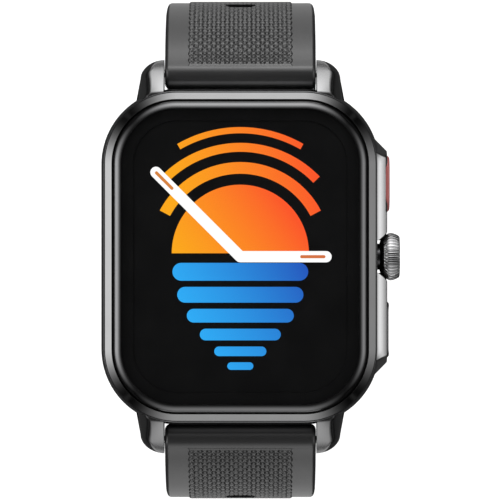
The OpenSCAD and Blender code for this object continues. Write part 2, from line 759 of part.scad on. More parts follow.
// Side buttons
module button_body(y, height) {
    back = guard_x - button_cap + moving_gap;
    face = guard_x + button_proud;
    soft = 0.2;
    union() {
        x_pill(button_length, height, back, face - soft, y);
        x_pill(button_length - 2 * soft, height - 2 * soft, back + 0.1, face, y);
        x_rod(button_stem_r, switch_x + button_travel + 0.1, back + 0.2, y);
    }
}
module button_seal(y) {
    x0 = gland_x0 + button_travel + moving_gap;
    x_ring(button_stem_r, button_seal_r, x0, x0 + 0.5, y);
}
module button_clip(y) {
    x_ring(button_stem_r, button_stem_r + 0.5, cavity_x - 0.4, cavity_x - 0.1, y);
}
module upper_button() { color([0.8, 0.16, 0.16]) button_body(button_offset, upper_button_height); }
module upper_button_seal() { color("black") button_seal(button_offset); }
module upper_button_clip() { color("silver") button_clip(button_offset); }
module lower_button() {
    rim = 0.5;
    face = guard_x + button_proud;
    color([0.1, 0.1, 0.11]) difference() {
        button_body(-button_offset, lower_button_height);
        x_pill(button_length - 4 * rim, lower_button_height - 2 * rim, face - 0.1, face + 1, -button_offset);
    }
}
module lower_button_seal() { color("black") button_seal(-button_offset); }
module lower_button_clip() { color("silver") button_clip(-button_offset); }

// Strap
function half_at(s, end_s, end_r) =
    let (flat = strap_thickness / 2)
    s < barrel_taper ? flat + (barrel_r - flat) * pow(1 - s / barrel_taper, 2)
    : end_r > flat && s > end_s - 4 ? flat + (end_r - flat) * (s - end_s + 4) / 4
    : flat;
function offset_point(p, d) = [p[0] - d * sin(p[2]), p[1] + d * cos(p[2])];
// Outline of a strap half: outer side, end, inner side, and round barrel.
function strap_outline(route, start, end_r) =
    let (
        st = stations(route),
        n = len(st) - 1,
        places = [for (s = st) place(route, start, s)],
        halves = [for (s = st) half_at(s, st[n], end_r)],
        tip = places[n],
        root = places[0]
    )
    concat(
        [for (i = [0:n]) offset_point(places[i], halves[i])],
        arc_points(tip[0], tip[1], halves[n], halves[n], tip[2] + 75, tip[2] - 75, 10),
        [for (i = [n:-1:0]) offset_point(places[i], -halves[i])],
        arc_points(root[0], root[1], barrel_r, barrel_r, root[2] + 255, root[2] + 105, 10));
function panel_outline(route, start, s0, s1) =
    let (
        st = concat([s0], [for (s = stations(route)) if (s > s0 + 0.3 && s < s1 - 0.3) s], [s1]),
        last = total(route)
    )
    concat(
        [for (s = st) offset_point(place(route, start, s), half_at(s, last, 0) + panel_rise)],
        [for (i = [len(st) - 1:-1:0])
            offset_point(place(route, start, st[i]), half_at(st[i], last, 0) - 0.4)]);
module across_x(width) {
    translate([-width / 2, 0, 0]) rotate([90, 0, 90]) linear_extrude(width) children();
}
// Places something on a route: X across the strap, Y along it, Z out of its outer face.
module on_strap(route, start, s) {
    p = place(route, start, s);
    translate([0, p[0], p[1]]) rotate([p[2], 0, 0]) children();
}
module strap_hole() {
    r = hole_length / 2;
    depth = strap_thickness + 2;
    translate([0, 0, -depth / 2]) {
        for (side = [-1, 1]) translate([side * (hole_width / 2 - r), 0, 0]) cylinder(r = r, h = depth);
        translate([r - hole_width / 2, -r, 0]) cube([hole_width - 2 * r, hole_length, depth]);
    }
}
// The strap seen from 12 o'clock: a little wider past the lugs, then narrowing towards the table.
module strap_front() {
    root = strap_width / 2;
    shoulder = root + shoulder_width;
    end = strap_end_width / 2;
    side = [[root, bar_z + 5], [root, bar_z - 1.7], [shoulder, bar_z - 2.3], [shoulder, bar_z - 8],
        [end, narrow_z], [end, -2]];
    polygon(concat(side, [for (i = [len(side) - 1:-1:0]) [-side[i][0], side[i][1]]]));
}
lever_depth = barrel_r + 0.5;
lever_travel = pin_depth + 0.1;
panel_start = 0.3;
narrow_z = 20;
module strap_body(route, start, end_r, panel_end) {
    intersection() {
        union() {
            across_x(strap_width + 2 * shoulder_width) polygon(strap_outline(route, start, end_r));
            across_x(panel_width) polygon(panel_outline(route, start, panel_start, panel_end));
        }
        translate([0, bar_y + 20, 0]) rotate([90, 0, 0]) linear_extrude(2 * bar_y + 10) strap_front();
    }
}
module bar_bore(start) {
    half = lever_r + moving_gap;
    x_rod(tube_r + seat_gap, -strap_width, strap_width, start[0], start[1]);
    on_strap([[1, 0]], start, 0) translate([lever_x - lever_travel - half, -half, -2 * barrel_r])
        cube([lever_travel + 2 * half, 2 * half, 2 * barrel_r]);
}
upper_holes = 3;
lower_holes = floor((total(lower_route) - lower_first_hole - 9) / hole_pitch) + 1;
tongue_slot = tongue_width + 2 * moving_gap;
tongue_slot_length = 6.2;
slot_cut = 4;
panel_margin = 31;
upper_end = place(upper_route, upper_start, upper_length);
buckle_y = upper_end[0];
buckle_z = upper_end[1];
module strap_upper() {
    color([0.25, 0.25, 0.26]) difference() {
        strap_body(upper_route, upper_start, loop_r, upper_length - panel_margin);
        bar_bore(upper_start);
        for (k = [0:upper_holes - 1])
            on_strap(upper_route, upper_start, upper_first_hole + k * hole_pitch) strap_hole();
        x_rod(buckle_bar_r + seat_gap, -strap_width, strap_width, buckle_y, buckle_z);
        on_strap(upper_route, upper_start, upper_length)
            translate([-tongue_slot / 2, -tongue_slot_length, -slot_cut])
                cube([tongue_slot, tongue_slot_length + slot_cut, 2 * slot_cut]);
    }
}
module strap_lower() {
    end = place(lower_route, lower_start, total(lower_route));
    round_r = strap_end_width / 2;
    color([0.25, 0.25, 0.26]) mirror([0, 1, 0]) difference() {
        strap_body(lower_route, lower_start, 0, lower_root + lower_route[1][0] + lower_upright);
        bar_bore(lower_start);
        for (k = [0:lower_holes - 1])
            on_strap(lower_route, lower_start, lower_first_hole + k * hole_pitch) strap_hole();
        translate([0, 0, -1]) linear_extrude(strap_thickness + 2) difference() {
            translate([-strap_end_width, end[0] - round_r]) square([2 * strap_end_width, 2 * round_r]);
            translate([0, end[0] + round_r]) circle(round_r);
        }
    }
}

// Spring bars: a tube with one fixed tip, a sprung pin with a release lever, and a coil spring.
tube_half = lug_inner - tube_setback;
pin_tip = lug_inner + pin_depth;
spring_x0 = 3.0;
pin_x0 = 6.0;
module bar_tube(start) {
    bore = pin_r + running_gap;
    difference() {
        union() {
            x_rod(tube_r, -tube_half, tube_half, start[0], start[1]);
            x_rod(pin_r, -pin_tip, -tube_half + 0.1, start[0], start[1]);
        }
        x_rod(bore, spring_x0, tube_half + 1, start[0], start[1]);
        on_strap([[1, 0]], start, 0)
            translate([lever_x - lever_r - lever_travel - moving_gap, -lever_r - moving_gap, -2])
                cube([lever_travel + 2 * (lever_r + moving_gap), 2 * (lever_r + moving_gap), 2]);
    }
}
module bar_pin(start) {
    x_rod(pin_r, pin_x0, pin_tip, start[0], start[1]);
    on_strap([[1, 0]], start, 0) translate([lever_x, 0, -lever_depth]) cylinder(r = lever_r, h = lever_depth);
}
coil_turns = 5;
coil_sides = 5;
coil_steps = 10;
coil_r = 0.38;
wire_r = 0.07;
module coil_spring(start) {
    run = pin_x0 - spring_x0 - 2 * wire_r;
    rings = coil_turns * coil_steps;
    points = [for (i = [0:rings], k = [0:coil_sides - 1])
        let (a = 360 * i / coil_steps, b = 360 * k / coil_sides, r = coil_r + wire_r * cos(b))
        [spring_x0 + wire_r + run * i / rings + wire_r * sin(b), r * cos(a), r * sin(a)]];
    sides = [for (i = [0:rings - 1], k = [0:coil_sides - 1])
        let (n = (k + 1) % coil_sides)
        [i * coil_sides + k, i * coil_sides + n, (i + 1) * coil_sides + n, (i + 1) * coil_sides + k]];
    caps = [[for (k = [coil_sides - 1:-1:0]) k], [for (k = [0:coil_sides - 1]) rings * coil_sides + k]];
    translate([0, start[0], start[1]]) polyhedron(points = points, faces = concat(sides, caps));
}
module upper_bar_tube() { color("silver") bar_tube(upper_start); }
module upper_bar_pin() { color("gainsboro") bar_pin(upper_start); }
module upper_bar_spring() { color("gray") coil_spring(upper_start); }
module lower_bar_tube() { color("silver") mirror([0, 1, 0]) bar_tube(lower_start); }
module lower_bar_pin() { color("gainsboro") mirror([0, 1, 0]) bar_pin(lower_start); }
module lower_bar_spring() { color("gray") mirror([0, 1, 0]) coil_spring(lower_start); }

// Keepers: rectangular loops around the strap, with room for the tail on the outer side.
keeper_width = strap_end_width + 1.2;
keeper_inner = strap_thickness + panel_rise + strap_thickness + 0.4;
module keeper(s, gap) {
    inner_x = keeper_width / 2;
    low = strap_thickness / 2 + gap;
    on_strap(upper_route, upper_start, s) difference() {
        translate([-inner_x - keeper_wall, -keeper_length / 2, -low - keeper_wall])
            cube([2 * (inner_x + keeper_wall), keeper_length, keeper_inner + 2 * keeper_wall]);
        translate([-inner_x, -keeper_length, -low]) cube([2 * inner_x, 2 * keeper_length, keeper_inner]);
    }
}
fixed_keeper_s = upper_length - fixed_keeper;
module keeper_fixed() {
    color([0.25, 0.25, 0.26]) keeper(fixed_keeper_s, seat_gap);
}
module keeper_free() {
    color([0.25, 0.25, 0.26]) keeper(fixed_keeper_s - keeper_spacing, moving_gap);
}

// Buckle: it lies on the table behind the upper half's foot.
buckle_tilt = asin((buckle_z - far_bar_r) / buckle_length);
module at_buckle() {
    translate([0, buckle_y, buckle_z]) rotate([-buckle_tilt, 0, 0]) children();
}
buckle_bar_half = buckle_inner / 2 + buckle_side - 0.4;
module buckle_bar() {
    color("silver") x_rod(buckle_bar_r, -buckle_bar_half, buckle_bar_half, buckle_y, buckle_z);
}
module buckle_frame() {
    half = buckle_inner / 2;
    eye_r = buckle_bar_r + 0.8;
    color([0.3, 0.3, 0.32]) at_buckle() difference() {
        union() {
            for (side = [-1, 1]) {
                translate([side > 0 ? half : -half - buckle_side, 0, -buckle_thickness / 2])
                    cube([buckle_side, buckle_length, buckle_thickness]);
                translate([side > 0 ? half : -half - buckle_side, 0, 0]) rotate([0, 90, 0])
                    cylinder(r = eye_r, h = buckle_side);
            }
            translate([-half - buckle_side, buckle_length, 0]) rotate([0, 90, 0])
                cylinder(r = far_bar_r, h = 2 * (half + buckle_side));
        }
        translate([-buckle_bar_half - 0.1, 0, 0]) rotate([0, 90, 0])
            cylinder(r = buckle_bar_r + running_gap, h = 2 * buckle_bar_half + 0.2);
        translate([-tongue_slot / 2, buckle_length - 1.6, tongue_rest]) cube([tongue_slot, 4, 3]);
    }
}
tongue_rest = 0.75;
module buckle_tongue() {
    eye_r = buckle_bar_r + 0.75;
    color([0.3, 0.3, 0.32]) at_buckle() translate([-tongue_width / 2, 0, 0]) difference() {
        union() {
            rotate([0, 90, 0]) cylinder(r = eye_r, h = tongue_width);
            translate([0, 0, tongue_rest + 0.05 - 0.3])
                cube([tongue_width, buckle_length - 2.5, tongue_thickness]);
            translate([0, buckle_length - 2.6, tongue_rest + 0.05])
                cube([tongue_width, 3.4, tongue_thickness - 0.3]);
        }
        translate([-1, 0, 0]) rotate([0, 90, 0])
            cylinder(r = buckle_bar_r + running_gap, h = tongue_width + 2);
    }
}

case_frame();
bezel_ring();
cover_glass();
glass_adhesive();
display_panel();
display_flex();
inner_chassis();
main_board();
board_chips();
shield_can();
battery();
battery_pad();
vibration_motor();
speaker();
speaker_mesh();
microphone();
back_cover();
back_gasket();
back_screws();
sensor_window();
sensor_board();
sensor_leds();
charge_contacts();
charge_magnets();
side_bracket();
side_flex();
button_switches();
crown_switch();
crown_tube();
crown_plunger();
crown_stem();
crown_seals();
crown_clip();
crown_knob();
upper_button();
upper_button_seal();
upper_button_clip();
lower_button();
lower_button_seal();
lower_button_clip();
strap_upper();
upper_bar_tube();
upper_bar_spring();
upper_bar_pin();
strap_lower();
lower_bar_tube();
lower_bar_spring();
lower_bar_pin();
keeper_fixed();
keeper_free();
buckle_bar();
buckle_frame();
buckle_tongue();
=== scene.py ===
"""Looks of a smartwatch that stands open on its strap. Sizes are millimetres in the frame's axes."""

import json
import math
from collections import namedtuple

import bmesh
import bpy
import numpy as np
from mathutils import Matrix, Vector


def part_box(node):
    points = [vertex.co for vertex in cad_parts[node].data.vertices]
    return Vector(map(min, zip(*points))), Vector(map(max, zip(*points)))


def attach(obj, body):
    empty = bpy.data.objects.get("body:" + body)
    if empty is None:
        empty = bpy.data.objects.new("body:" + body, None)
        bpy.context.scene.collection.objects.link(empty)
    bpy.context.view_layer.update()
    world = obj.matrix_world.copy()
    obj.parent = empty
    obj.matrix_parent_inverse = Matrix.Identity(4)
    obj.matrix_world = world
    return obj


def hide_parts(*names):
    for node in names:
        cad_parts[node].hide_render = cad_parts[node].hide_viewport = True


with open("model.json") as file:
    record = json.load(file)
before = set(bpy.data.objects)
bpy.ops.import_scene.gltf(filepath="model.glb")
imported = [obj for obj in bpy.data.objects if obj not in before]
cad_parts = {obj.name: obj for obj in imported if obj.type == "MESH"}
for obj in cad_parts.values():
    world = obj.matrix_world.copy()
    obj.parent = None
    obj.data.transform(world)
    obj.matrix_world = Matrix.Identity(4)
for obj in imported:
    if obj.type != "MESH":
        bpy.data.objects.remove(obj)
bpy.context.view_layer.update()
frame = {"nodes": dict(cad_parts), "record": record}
MM = 0.001


def box(node):
    """Lowest and highest corner of a CAD node, in millimetres."""
    low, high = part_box(node)
    return low / MM, high / MM


def middle(node):
    """Middle of a CAD node, in millimetres."""
    low, high = box(node)
    return (low + high) / 2


# ---------------- places taken from the frame
CASE_LOW, CASE_HIGH = box("case_frame")
BEZEL_LOW, BEZEL_HIGH = box("bezel_ring")
GLASS_LOW, GLASS_HIGH = box("cover_glass")
DISPLAY_TOP = box("display_panel")[1].z
CROWN_LOW, CROWN_HIGH = box("crown_knob")
CROWN_AXIS_Z = middle("crown_stem").z
UPPER_BAR = middle("upper_bar_tube")
LOWER_BAR = middle("lower_bar_tube")
BUCKLE_BAR = middle("buckle_bar")

BEZEL_INSET = 0.56
CORNER_R = 11.0
HALF_X = -CASE_LOW.x
HALF_Y = BEZEL_HIGH.y + BEZEL_INSET
CENTRE_X = HALF_X - CORNER_R
FRAME_Z = CASE_LOW.z
SEAT_Z = BEZEL_LOW.z
GUARD_X = CASE_HIGH.x


# ---------------- materials
def node(tree, kind, operation=None, **inputs):
    """Adds a shader node, and sets its operation and inputs."""
    made = tree.nodes.new("ShaderNode" + kind)
    if operation:
        made.operation = operation
    for key, value in inputs.items():
        made.inputs[key.replace("_", " ")].default_value = value
    return made


def empty_material(name):
    """A material whose tree holds only its output."""
    mat = bpy.data.materials.new(name)
    mat.use_nodes = True
    mat.node_tree.nodes.clear()
    return mat, mat.node_tree, node(mat.node_tree, "OutputMaterial").inputs["Surface"]


def new_material(name, **inputs):
    """A material with a Principled shader, and that shader's inputs."""
    mat, tree, surface = empty_material(name)
    shader = node(tree, "BsdfPrincipled", **inputs)
    tree.links.new(shader.outputs[0], surface)
    return mat, tree, shader


def math_node(tree, operation, *values):
    """Adds a Math node whose inputs are numbers or other nodes' outputs."""
    made = node(tree, "Math", operation)
    for socket, value in zip(made.inputs, values):
        if isinstance(value, (int, float)):
            socket.default_value = value
        else:
            tree.links.new(value, socket)
    return made.outputs[0]


def mix_shaders(tree, fac, first, second, surface):
    """Links a mix of two shaders to a surface."""
    mix = node(tree, "MixShader")
    for output, socket in ((fac, mix.inputs[0]), (first, mix.inputs[1]), (second, mix.inputs[2])):
        tree.links.new(output, socket)
    tree.links.new(mix.outputs[0], surface)


def object_place(tree):
    """The place on the surface, in the object's own metres."""
    return node(tree, "TexCoord").outputs["Object"]


def noise(tree, scale, detail=3.0, rough=0.55, stretch=None):
    """Noise in the object's own metres; scale counts features per metre."""
    place = object_place(tree)
    if stretch:
        mapping = node(tree, "Mapping", Scale=stretch)
        tree.links.new(place, mapping.inputs["Vector"])
        place = mapping.outputs[0]
    made = node(tree, "TexNoise", Scale=scale, Detail=detail, Roughness=rough)
    tree.links.new(place, made.inputs["Vector"])
    return made.outputs["Fac"]


def spread(tree, fac, low, high, from_low=0.3, from_high=0.7):
    """Maps a factor to a range of values."""
    made = node(tree, "MapRange", From_Min=from_low, From_Max=from_high, To_Min=low, To_Max=high)
    tree.links.new(fac, made.inputs["Value"])
    return made.outputs["Result"]


def blend_colours(tree, fac, dark, light, from_low=0.3, from_high=0.7):
    """Maps a factor to a range of colours."""
    ramp = node(tree, "ValToRGB")
    for element, place, colour in zip(ramp.color_ramp.elements, (from_low, from_high), (dark, light)):
        element.position = place
        element.color = (*colour, 1)
    tree.links.new(fac, ramp.inputs["Fac"])
    return ramp.outputs["Color"]


def add_bump(tree, shader, heights, distance, strength=1.0):
    """Stacks bumps on a shader. heights is a list of factors, distance is in metres."""
    last = None
    for height in heights:
        bump = node(tree, "Bump", Strength=strength, Distance=distance)
        tree.links.new(height, bump.inputs["Height"])
        if last:
            tree.links.new(last, bump.inputs["Normal"])
        last = bump.outputs["Normal"]
    tree.links.new(last, shader.inputs["Normal"])


def metal(name, dark, light, rough, brushed=None, grain=9000.0, depth=1e-6):
    """Polished or brushed metal: slight changes of tone and gloss, and fine handling marks."""
    mat, tree, shader = new_material(name, Metallic=1.0)
    broad = noise(tree, 160.0, 4.0)
    fine = noise(tree, grain, 2.0, 0.6, brushed)
    tree.links.new(blend_colours(tree, broad, dark, light), shader.inputs["Base Color"])
    tree.links.new(spread(tree, fine, rough * 0.85, rough * 1.2), shader.inputs["Roughness"])
    add_bump(tree, shader, [fine], depth, 0.35)
    return mat


def plastic(name, dark, light, rough, grain=14000.0, depth=4e-6, specular=0.5, coat=0.0):
    """Moulded plastic, rubber or paint with a fine grain and a slight change of tone."""
    mat, tree, shader = new_material(name, Specular_IOR_Level=specular, Coat_Weight=coat)
    broad = noise(tree, 220.0, 5.0)
    fine = noise(tree, grain, 2.0, 0.6)
    tree.links.new(blend_colours(tree, broad, dark, light), shader.inputs["Base Color"])
    tree.links.new(spread(tree, broad, rough * 0.9, min(1.0, rough * 1.1)), shader.inputs["Roughness"])
    add_bump(tree, shader, [fine], depth, 0.5)
    return mat


def silicone(name):
    """Dark silicone: soft broad gloss, fine moulded grain, and a faint dusty lift in tone."""
    mat, tree, shader = new_material(name, Specular_IOR_Level=1.0, IOR=1.7)
    dust = noise(tree, 900.0, 6.0, 0.65)
    grain = noise(tree, 16000.0, 2.0, 0.6)
    broad = noise(tree, 120.0, 3.0)
    tone = blend_colours(tree, dust, (0.016, 0.016, 0.0165), (0.019, 0.019, 0.0195))
    tree.links.new(tone, shader.inputs["Base Color"])
    tree.links.new(spread(tree, broad, 0.34, 0.39), shader.inputs["Roughness"])
    add_bump(tree, shader, [grain, dust], 6e-6, 0.5)
    return mat


def clear_glass(name):
    """Thin cover glass: clear straight through, with the gloss of a polished face on its outside."""
    mat, tree, shader = new_material(name, Base_Color=(0.004, 0.004, 0.005, 1), Specular_IOR_Level=1.0)
    smudge = noise(tree, 120.0, 5.0, 0.6)
    tree.links.new(spread(tree, smudge, 0.02, 0.05), shader.inputs["Roughness"])
    fresnel = node(tree, "Fresnel", IOR=1.45).outputs[0]
    front = math_node(tree, "SUBTRACT", 1.0, node(tree, "NewGeometry").outputs["Backfacing"])
    gloss = math_node(tree, "MULTIPLY", fresnel, front)
    clear = node(tree, "BsdfTransparent").outputs[0]
    mix_shaders(tree, gloss, clear, shader.outputs[0], tree.nodes["Material Output"].inputs["Surface"])
    return mat


def lit(name, first, last, start, end, strength=1.0):
    """A lit part of the display: its colour runs from first to last between two places."""
    mat, tree, shader = new_material(
        name, Emission_Strength=strength, Base_Color=(0.005, 0.005, 0.006, 1), Roughness=0.4
    )
    axis = Vector(end) - Vector(start)
    shift = node(tree, "VectorMath", "SUBTRACT")
    dot = node(tree, "VectorMath", "DOT_PRODUCT")
    shift.inputs[1].default_value = Vector((*start, 0)) * MM
    dot.inputs[1].default_value = Vector((*axis, 0)).normalized() / (axis.length * MM)
    tree.links.new(object_place(tree), shift.inputs[0])
    tree.links.new(shift.outputs[0], dot.inputs[0])
    colour = blend_colours(tree, dot.outputs["Value"], first, last, 0.0, 1.0)
    tree.links.new(colour, shader.inputs["Emission Color"])
    pixels = noise(tree, 20000.0, 0.0)
    add_bump(tree, shader, [pixels], 1e-7, 0.1)
    return mat


def srgb(r, g, b):
    """Linear colour of a screen colour."""
    return tuple(((c / 255 + 0.055) / 1.055) ** 2.4 if c > 10 else c / 255 / 12.92 for c in (r, g, b))


MATERIALS = {
    "case_black": metal("case_black", (0.245, 0.245, 0.25), (0.27, 0.27, 0.275), 0.16, depth=5e-7),
    "bezel_polish": metal("bezel_polish", (0.31, 0.31, 0.312), (0.33, 0.33, 0.332), 0.12, depth=3e-7),
    "cover_glass": clear_glass("cover_glass"),
    "display": plastic("display", (0.003, 0.003, 0.0035), (0.004, 0.004, 0.0045), 0.35, depth=1e-7),
    "seal_black": plastic("seal_black", (0.012, 0.012, 0.012), (0.02, 0.02, 0.02), 0.7),
    "flex_amber": plastic("flex_amber", (0.42, 0.19, 0.03), (0.5, 0.24, 0.05), 0.35),
    "steel": metal("steel", (0.5, 0.5, 0.5), (0.58, 0.58, 0.58), 0.28),
    "steel_dark": metal("steel_dark", (0.12, 0.12, 0.12), (0.17, 0.17, 0.17), 0.4),
    "board_green": plastic("board_green", (0.01, 0.07, 0.03), (0.015, 0.1, 0.045), 0.4),
    "chip_black": plastic("chip_black", (0.012, 0.012, 0.012), (0.02, 0.02, 0.02), 0.55),
    "battery_grey": plastic("battery_grey", (0.3, 0.31, 0.33), (0.36, 0.37, 0.39), 0.3),
    "foam_white": plastic("foam_white", (0.62, 0.62, 0.6), (0.72, 0.72, 0.7), 0.9, 5000.0, 3e-5),
    "plastic_black": plastic("plastic_black", (0.012, 0.012, 0.013), (0.02, 0.02, 0.022), 0.5),
    "plastic_white": plastic("plastic_white", (0.6, 0.6, 0.58), (0.68, 0.68, 0.66), 0.4),
    "gold_plate": metal("gold_plate", (0.75, 0.5, 0.18), (0.85, 0.6, 0.25), 0.18),
    "back_plastic": plastic(
        "back_plastic", (0.012, 0.012, 0.013), (0.018, 0.018, 0.02), 0.22, depth=1e-6, coat=0.3
    ),
    "sensor_glass": plastic(
        "sensor_glass", (0.004, 0.004, 0.006), (0.007, 0.007, 0.009), 0.05, depth=1e-7, coat=1.0
    ),
    "led_lens": plastic("led_lens", (0.1, 0.4, 0.12), (0.16, 0.5, 0.18), 0.2),
    "magnet_nickel": metal("magnet_nickel", (0.6, 0.6, 0.58), (0.68, 0.68, 0.66), 0.2),
    "crown_black": metal("crown_black", (0.60, 0.60, 0.605), (0.65, 0.65, 0.655), 0.13, depth=3e-7),
    "button_red": plastic("button_red", (0.88, 0.25, 0.24), (0.92, 0.28, 0.27), 0.35, depth=2e-6, coat=0.4),
    "button_black": metal("button_black", (0.1, 0.1, 0.105), (0.14, 0.14, 0.145), 0.2),
    "strap_silicone": silicone("strap_silicone"),
    "buckle_black": metal(
        "buckle_black", (0.13, 0.13, 0.135), (0.19, 0.19, 0.195), 0.26, (1, 14, 1), 3000.0, 2e-6
    ),
}


def stretch_gloss(mat, along):
    """Draws out a material's highlights along X. along is what is left of the normal's X part."""
    tree = mat.node_tree
    flatter = node(tree, "VectorMath", "MULTIPLY")
    flatter.inputs[1].default_value = (along, 1, 1)
    whole = node(tree, "VectorMath", "NORMALIZE")
    tree.links.new(node(tree, "NewGeometry").outputs["Normal"], flatter.inputs[0])
    tree.links.new(flatter.outputs[0], whole.inputs[0])
    first = next(n for n in tree.nodes if n.type == "BUMP" and not n.inputs["Normal"].is_linked)
    tree.links.new(whole.outputs[0], first.inputs["Normal"])


stretch_gloss(MATERIALS["crown_black"], 0.35)
# Near-black painted shade for the walls of gaps and openings, where shade falls.
GAP_SHADE_BLACK = plastic("painted_gap_shade", (0.004, 0.004, 0.004), (0.007, 0.007, 0.007), 0.8)
GLASS_EDGE = metal("glass_edge", (0.165, 0.165, 0.168), (0.175, 0.175, 0.178), 0.14, depth=2e-7)
LUG_POLISH = metal("lug_polish", (0.31, 0.31, 0.312), (0.335, 0.335, 0.337), 0.16, depth=4e-7)
# Painted light: the guard gets a lighter copy of the case metal, so that it looks brightly lit under the
# dimmer light on its side.
GUARD_LIT_METAL = metal("guard_painted_light", (0.57, 0.57, 0.575), (0.60, 0.60, 0.605), 0.14, depth=4e-7)


# ---------------- mesh helpers
def unit(degrees):
    """Cosine and sine of an angle."""
    a = math.radians(degrees)
    return math.cos(a), math.sin(a)


def new_object(name, points, faces):
    """An object in the scene, from points in millimetres."""
    mesh = bpy.data.meshes.new(name)
    places = [tuple(float(c) * MM for c in p) for p in points]
    mesh.from_pydata(places, [], [tuple(map(int, f)) for f in faces])
    obj = bpy.data.objects.new(name, mesh)
    bpy.context.scene.collection.objects.link(obj)
    return obj


def add_piece(name, points, faces, body, slot, replaces=(), materials=None, face_material=None):
    """Makes a smooth-shaded piece from points in millimetres, and fixes it to a body of the frame."""
    obj = new_object(name, points, faces)
    for mat in materials or [MATERIALS[slot]]:
        obj.data.materials.append(mat)
    if face_material is not None:
        obj.data.polygons.foreach_set("material_index", face_material)
    clean(obj)
    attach(obj, body)
    if replaces:
        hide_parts(*replaces)
    return obj


def clean(obj, crease=35.0):
    """Welds doubles, turns normals outward, and shades smooth apart from sharp edges."""
    work = bmesh.new()
    work.from_mesh(obj.data)
    bmesh.ops.remove_doubles(work, verts=work.verts, dist=1e-8)
    bmesh.ops.recalc_face_normals(work, faces=work.faces)
    for face in work.faces:
        face.smooth = True
    for edge in work.edges:
        edge.smooth = len(edge.link_faces) == 2 and edge.calc_face_angle(0) < math.radians(crease)
    work.to_mesh(obj.data)
    work.free()
    weigh = obj.modifiers.new("weigh", "WEIGHTED_NORMAL")
    weigh.keep_sharp = True
    bake(obj)


def bake(obj):
    """Applies the modifiers of a piece."""
    bpy.context.view_layer.update()
    graph = bpy.context.evaluated_depsgraph_get()
    mesh = bpy.data.meshes.new_from_object(obj.evaluated_get(graph))
    obj.modifiers.clear()
    old = obj.data
    name = old.name
    obj.data = mesh
    bpy.data.meshes.remove(old)
    mesh.name = name


def cut(obj, cutters):
    """Takes cutters away from a closed piece, then deletes them."""
    for cutter in cutters:
        change = obj.modifiers.new("cut", "BOOLEAN")
        change.operation = "DIFFERENCE"
        change.solver = "MANIFOLD"
        change.object = cutter
    bake(obj)
    for cutter in cutters:
        bpy.data.objects.remove(cutter)
    clean(obj)


def loose(name, points, faces):
    """A bare object in millimetres, used as a cutter."""
    obj = new_object(name, points, faces)
    clean(obj)
    return obj


def tube_faces(rows, columns, wrap_rows=False, caps=True):
    """Faces of a tube: each row is a closed ring of columns points. Ends are closed with one face each."""
    faces = []
    for i in range(rows if wrap_rows else rows - 1):
        below, above = i * columns, ((i + 1) % rows) * columns
        for k in range(columns):
            n = (k + 1) % columns
            faces.append((below + k, below + n, above + n, above + k))
    if caps and not wrap_rows:
        faces.append(tuple(range(columns - 1, -1, -1)))
        faces.append(tuple((rows - 1) * columns + k for k in range(columns)))
    return faces


def loft(rows):
    """Points and faces of a closed tube through rings of points."""
    return [p for row in rows for p in row], tube_faces(len(rows), len(rows[0]))


def arc(cx, cy, rx, ry, first, last, count):
    """Points along an arc of an oval, both ends included. Angles are in degrees."""
    return [(cx + rx * c, cy + ry * s) for c, s in map(unit, np.linspace(first, last, count + 1))]


def circle(r, sides, cx=0.0, cy=0.0):
    """Points round a circle, none of them twice."""
    turns = np.linspace(0, 2 * math.pi, sides, endpoint=False)
    return [(cx + r * math.cos(a), cy + r * math.sin(a)) for a in turns]


def outline(half_x, half_y, r, steps=24):
    """Rounded rectangle as (place, outward direction) pairs, anticlockwise."""
    made = []
    for quarter, (sx, sy) in enumerate(((1, 1), (-1, 1), (-1, -1), (1, -1))):
        for a in np.linspace(90 * quarter, 90 * quarter + 90, steps + 1):
            d = unit(a)
            made.append(((sx * (half_x - r) + r * d[0], sy * (half_y - r) + r * d[1]), d))
    return made


def ring(path, section, place=lambda x, y, h: (x, y, h)):
    """Closed ring: carries a section of (outward offset, height) points round a closed path."""
    points = [
        place(px + dx * u, py + dy * u, h) for (px, py), (dx, dy) in path for u, h in section
    ]
    return points, tube_faces(len(path), len(section), wrap_rows=True)


def rounded(corners, radius, steps=4):
    """Rounds the corners of a closed outline. A corner may be (x, y) or (x, y, its own radius)."""
    made = []
    count = len(corners)
    for i, corner in enumerate(corners):
        r = corner[2] if len(corner) > 2 else radius
        here = Vector(corner[:2])
        back = Vector(corners[i - 1][:2]) - here
        ahead = Vector(corners[(i + 1) % count][:2]) - here
        turn = back.angle(ahead)
        reach = min(r / math.tan(turn / 2), back.length * 0.49, ahead.length * 0.49)
        r = reach * math.tan(turn / 2)
        if r < 1e-4:
            made.append(tuple(here))
            continue
        centre = here + (back.normalized() + ahead.normalized()).normalized() * (r / math.sin(turn / 2))
        first = here + back.normalized() * reach - centre
        swing = here + ahead.normalized() * reach - centre
        angle = math.atan2(first.x * swing.y - first.y * swing.x, first.dot(swing))
        for k in range(steps + 1):
            a = angle * k / steps
            made.append((
                centre.x + first.x * math.cos(a) - first.y * math.sin(a),
                centre.y + first.x * math.sin(a) + first.y * math.cos(a),
            ))
    return made


def rod_x(r, x0, x1, y, z, sides=48):
    """Points and faces of a cylinder along X."""
    return loft([[(x, *place) for place in circle(r, sides, y, z)] for x in (x0, x1)])


def block(name, low, high):
    """Box between two corners, as a cutter."""
    x0, y0, z0 = low
    x1, y1, z1 = high
    rows = [[(x0, y0, z), (x1, y0, z), (x1, y1, z), (x0, y1, z)] for z in (z0, z1)]
    return loose(name, *loft(rows))


# ---------------- case wall, lugs and guard
WALL = 2.6
EDGE_SOFT = 0.8
BACK_LIP = 1.2
BACK_REBATE = 0.85
SEAM_WIDTH = 0.12
SEAM_DEPTH = 0.3
SEAM_LIP = 0.11
SPEAKER_SLOTS = (-4.9, -2.3, 0.3, 2.9)
SPEAKER_SLOT_LENGTH, SPEAKER_SLOT_HEIGHT = 1.6, 0.6
CASE_PATH = outline(HALF_X, HALF_Y, CORNER_R)

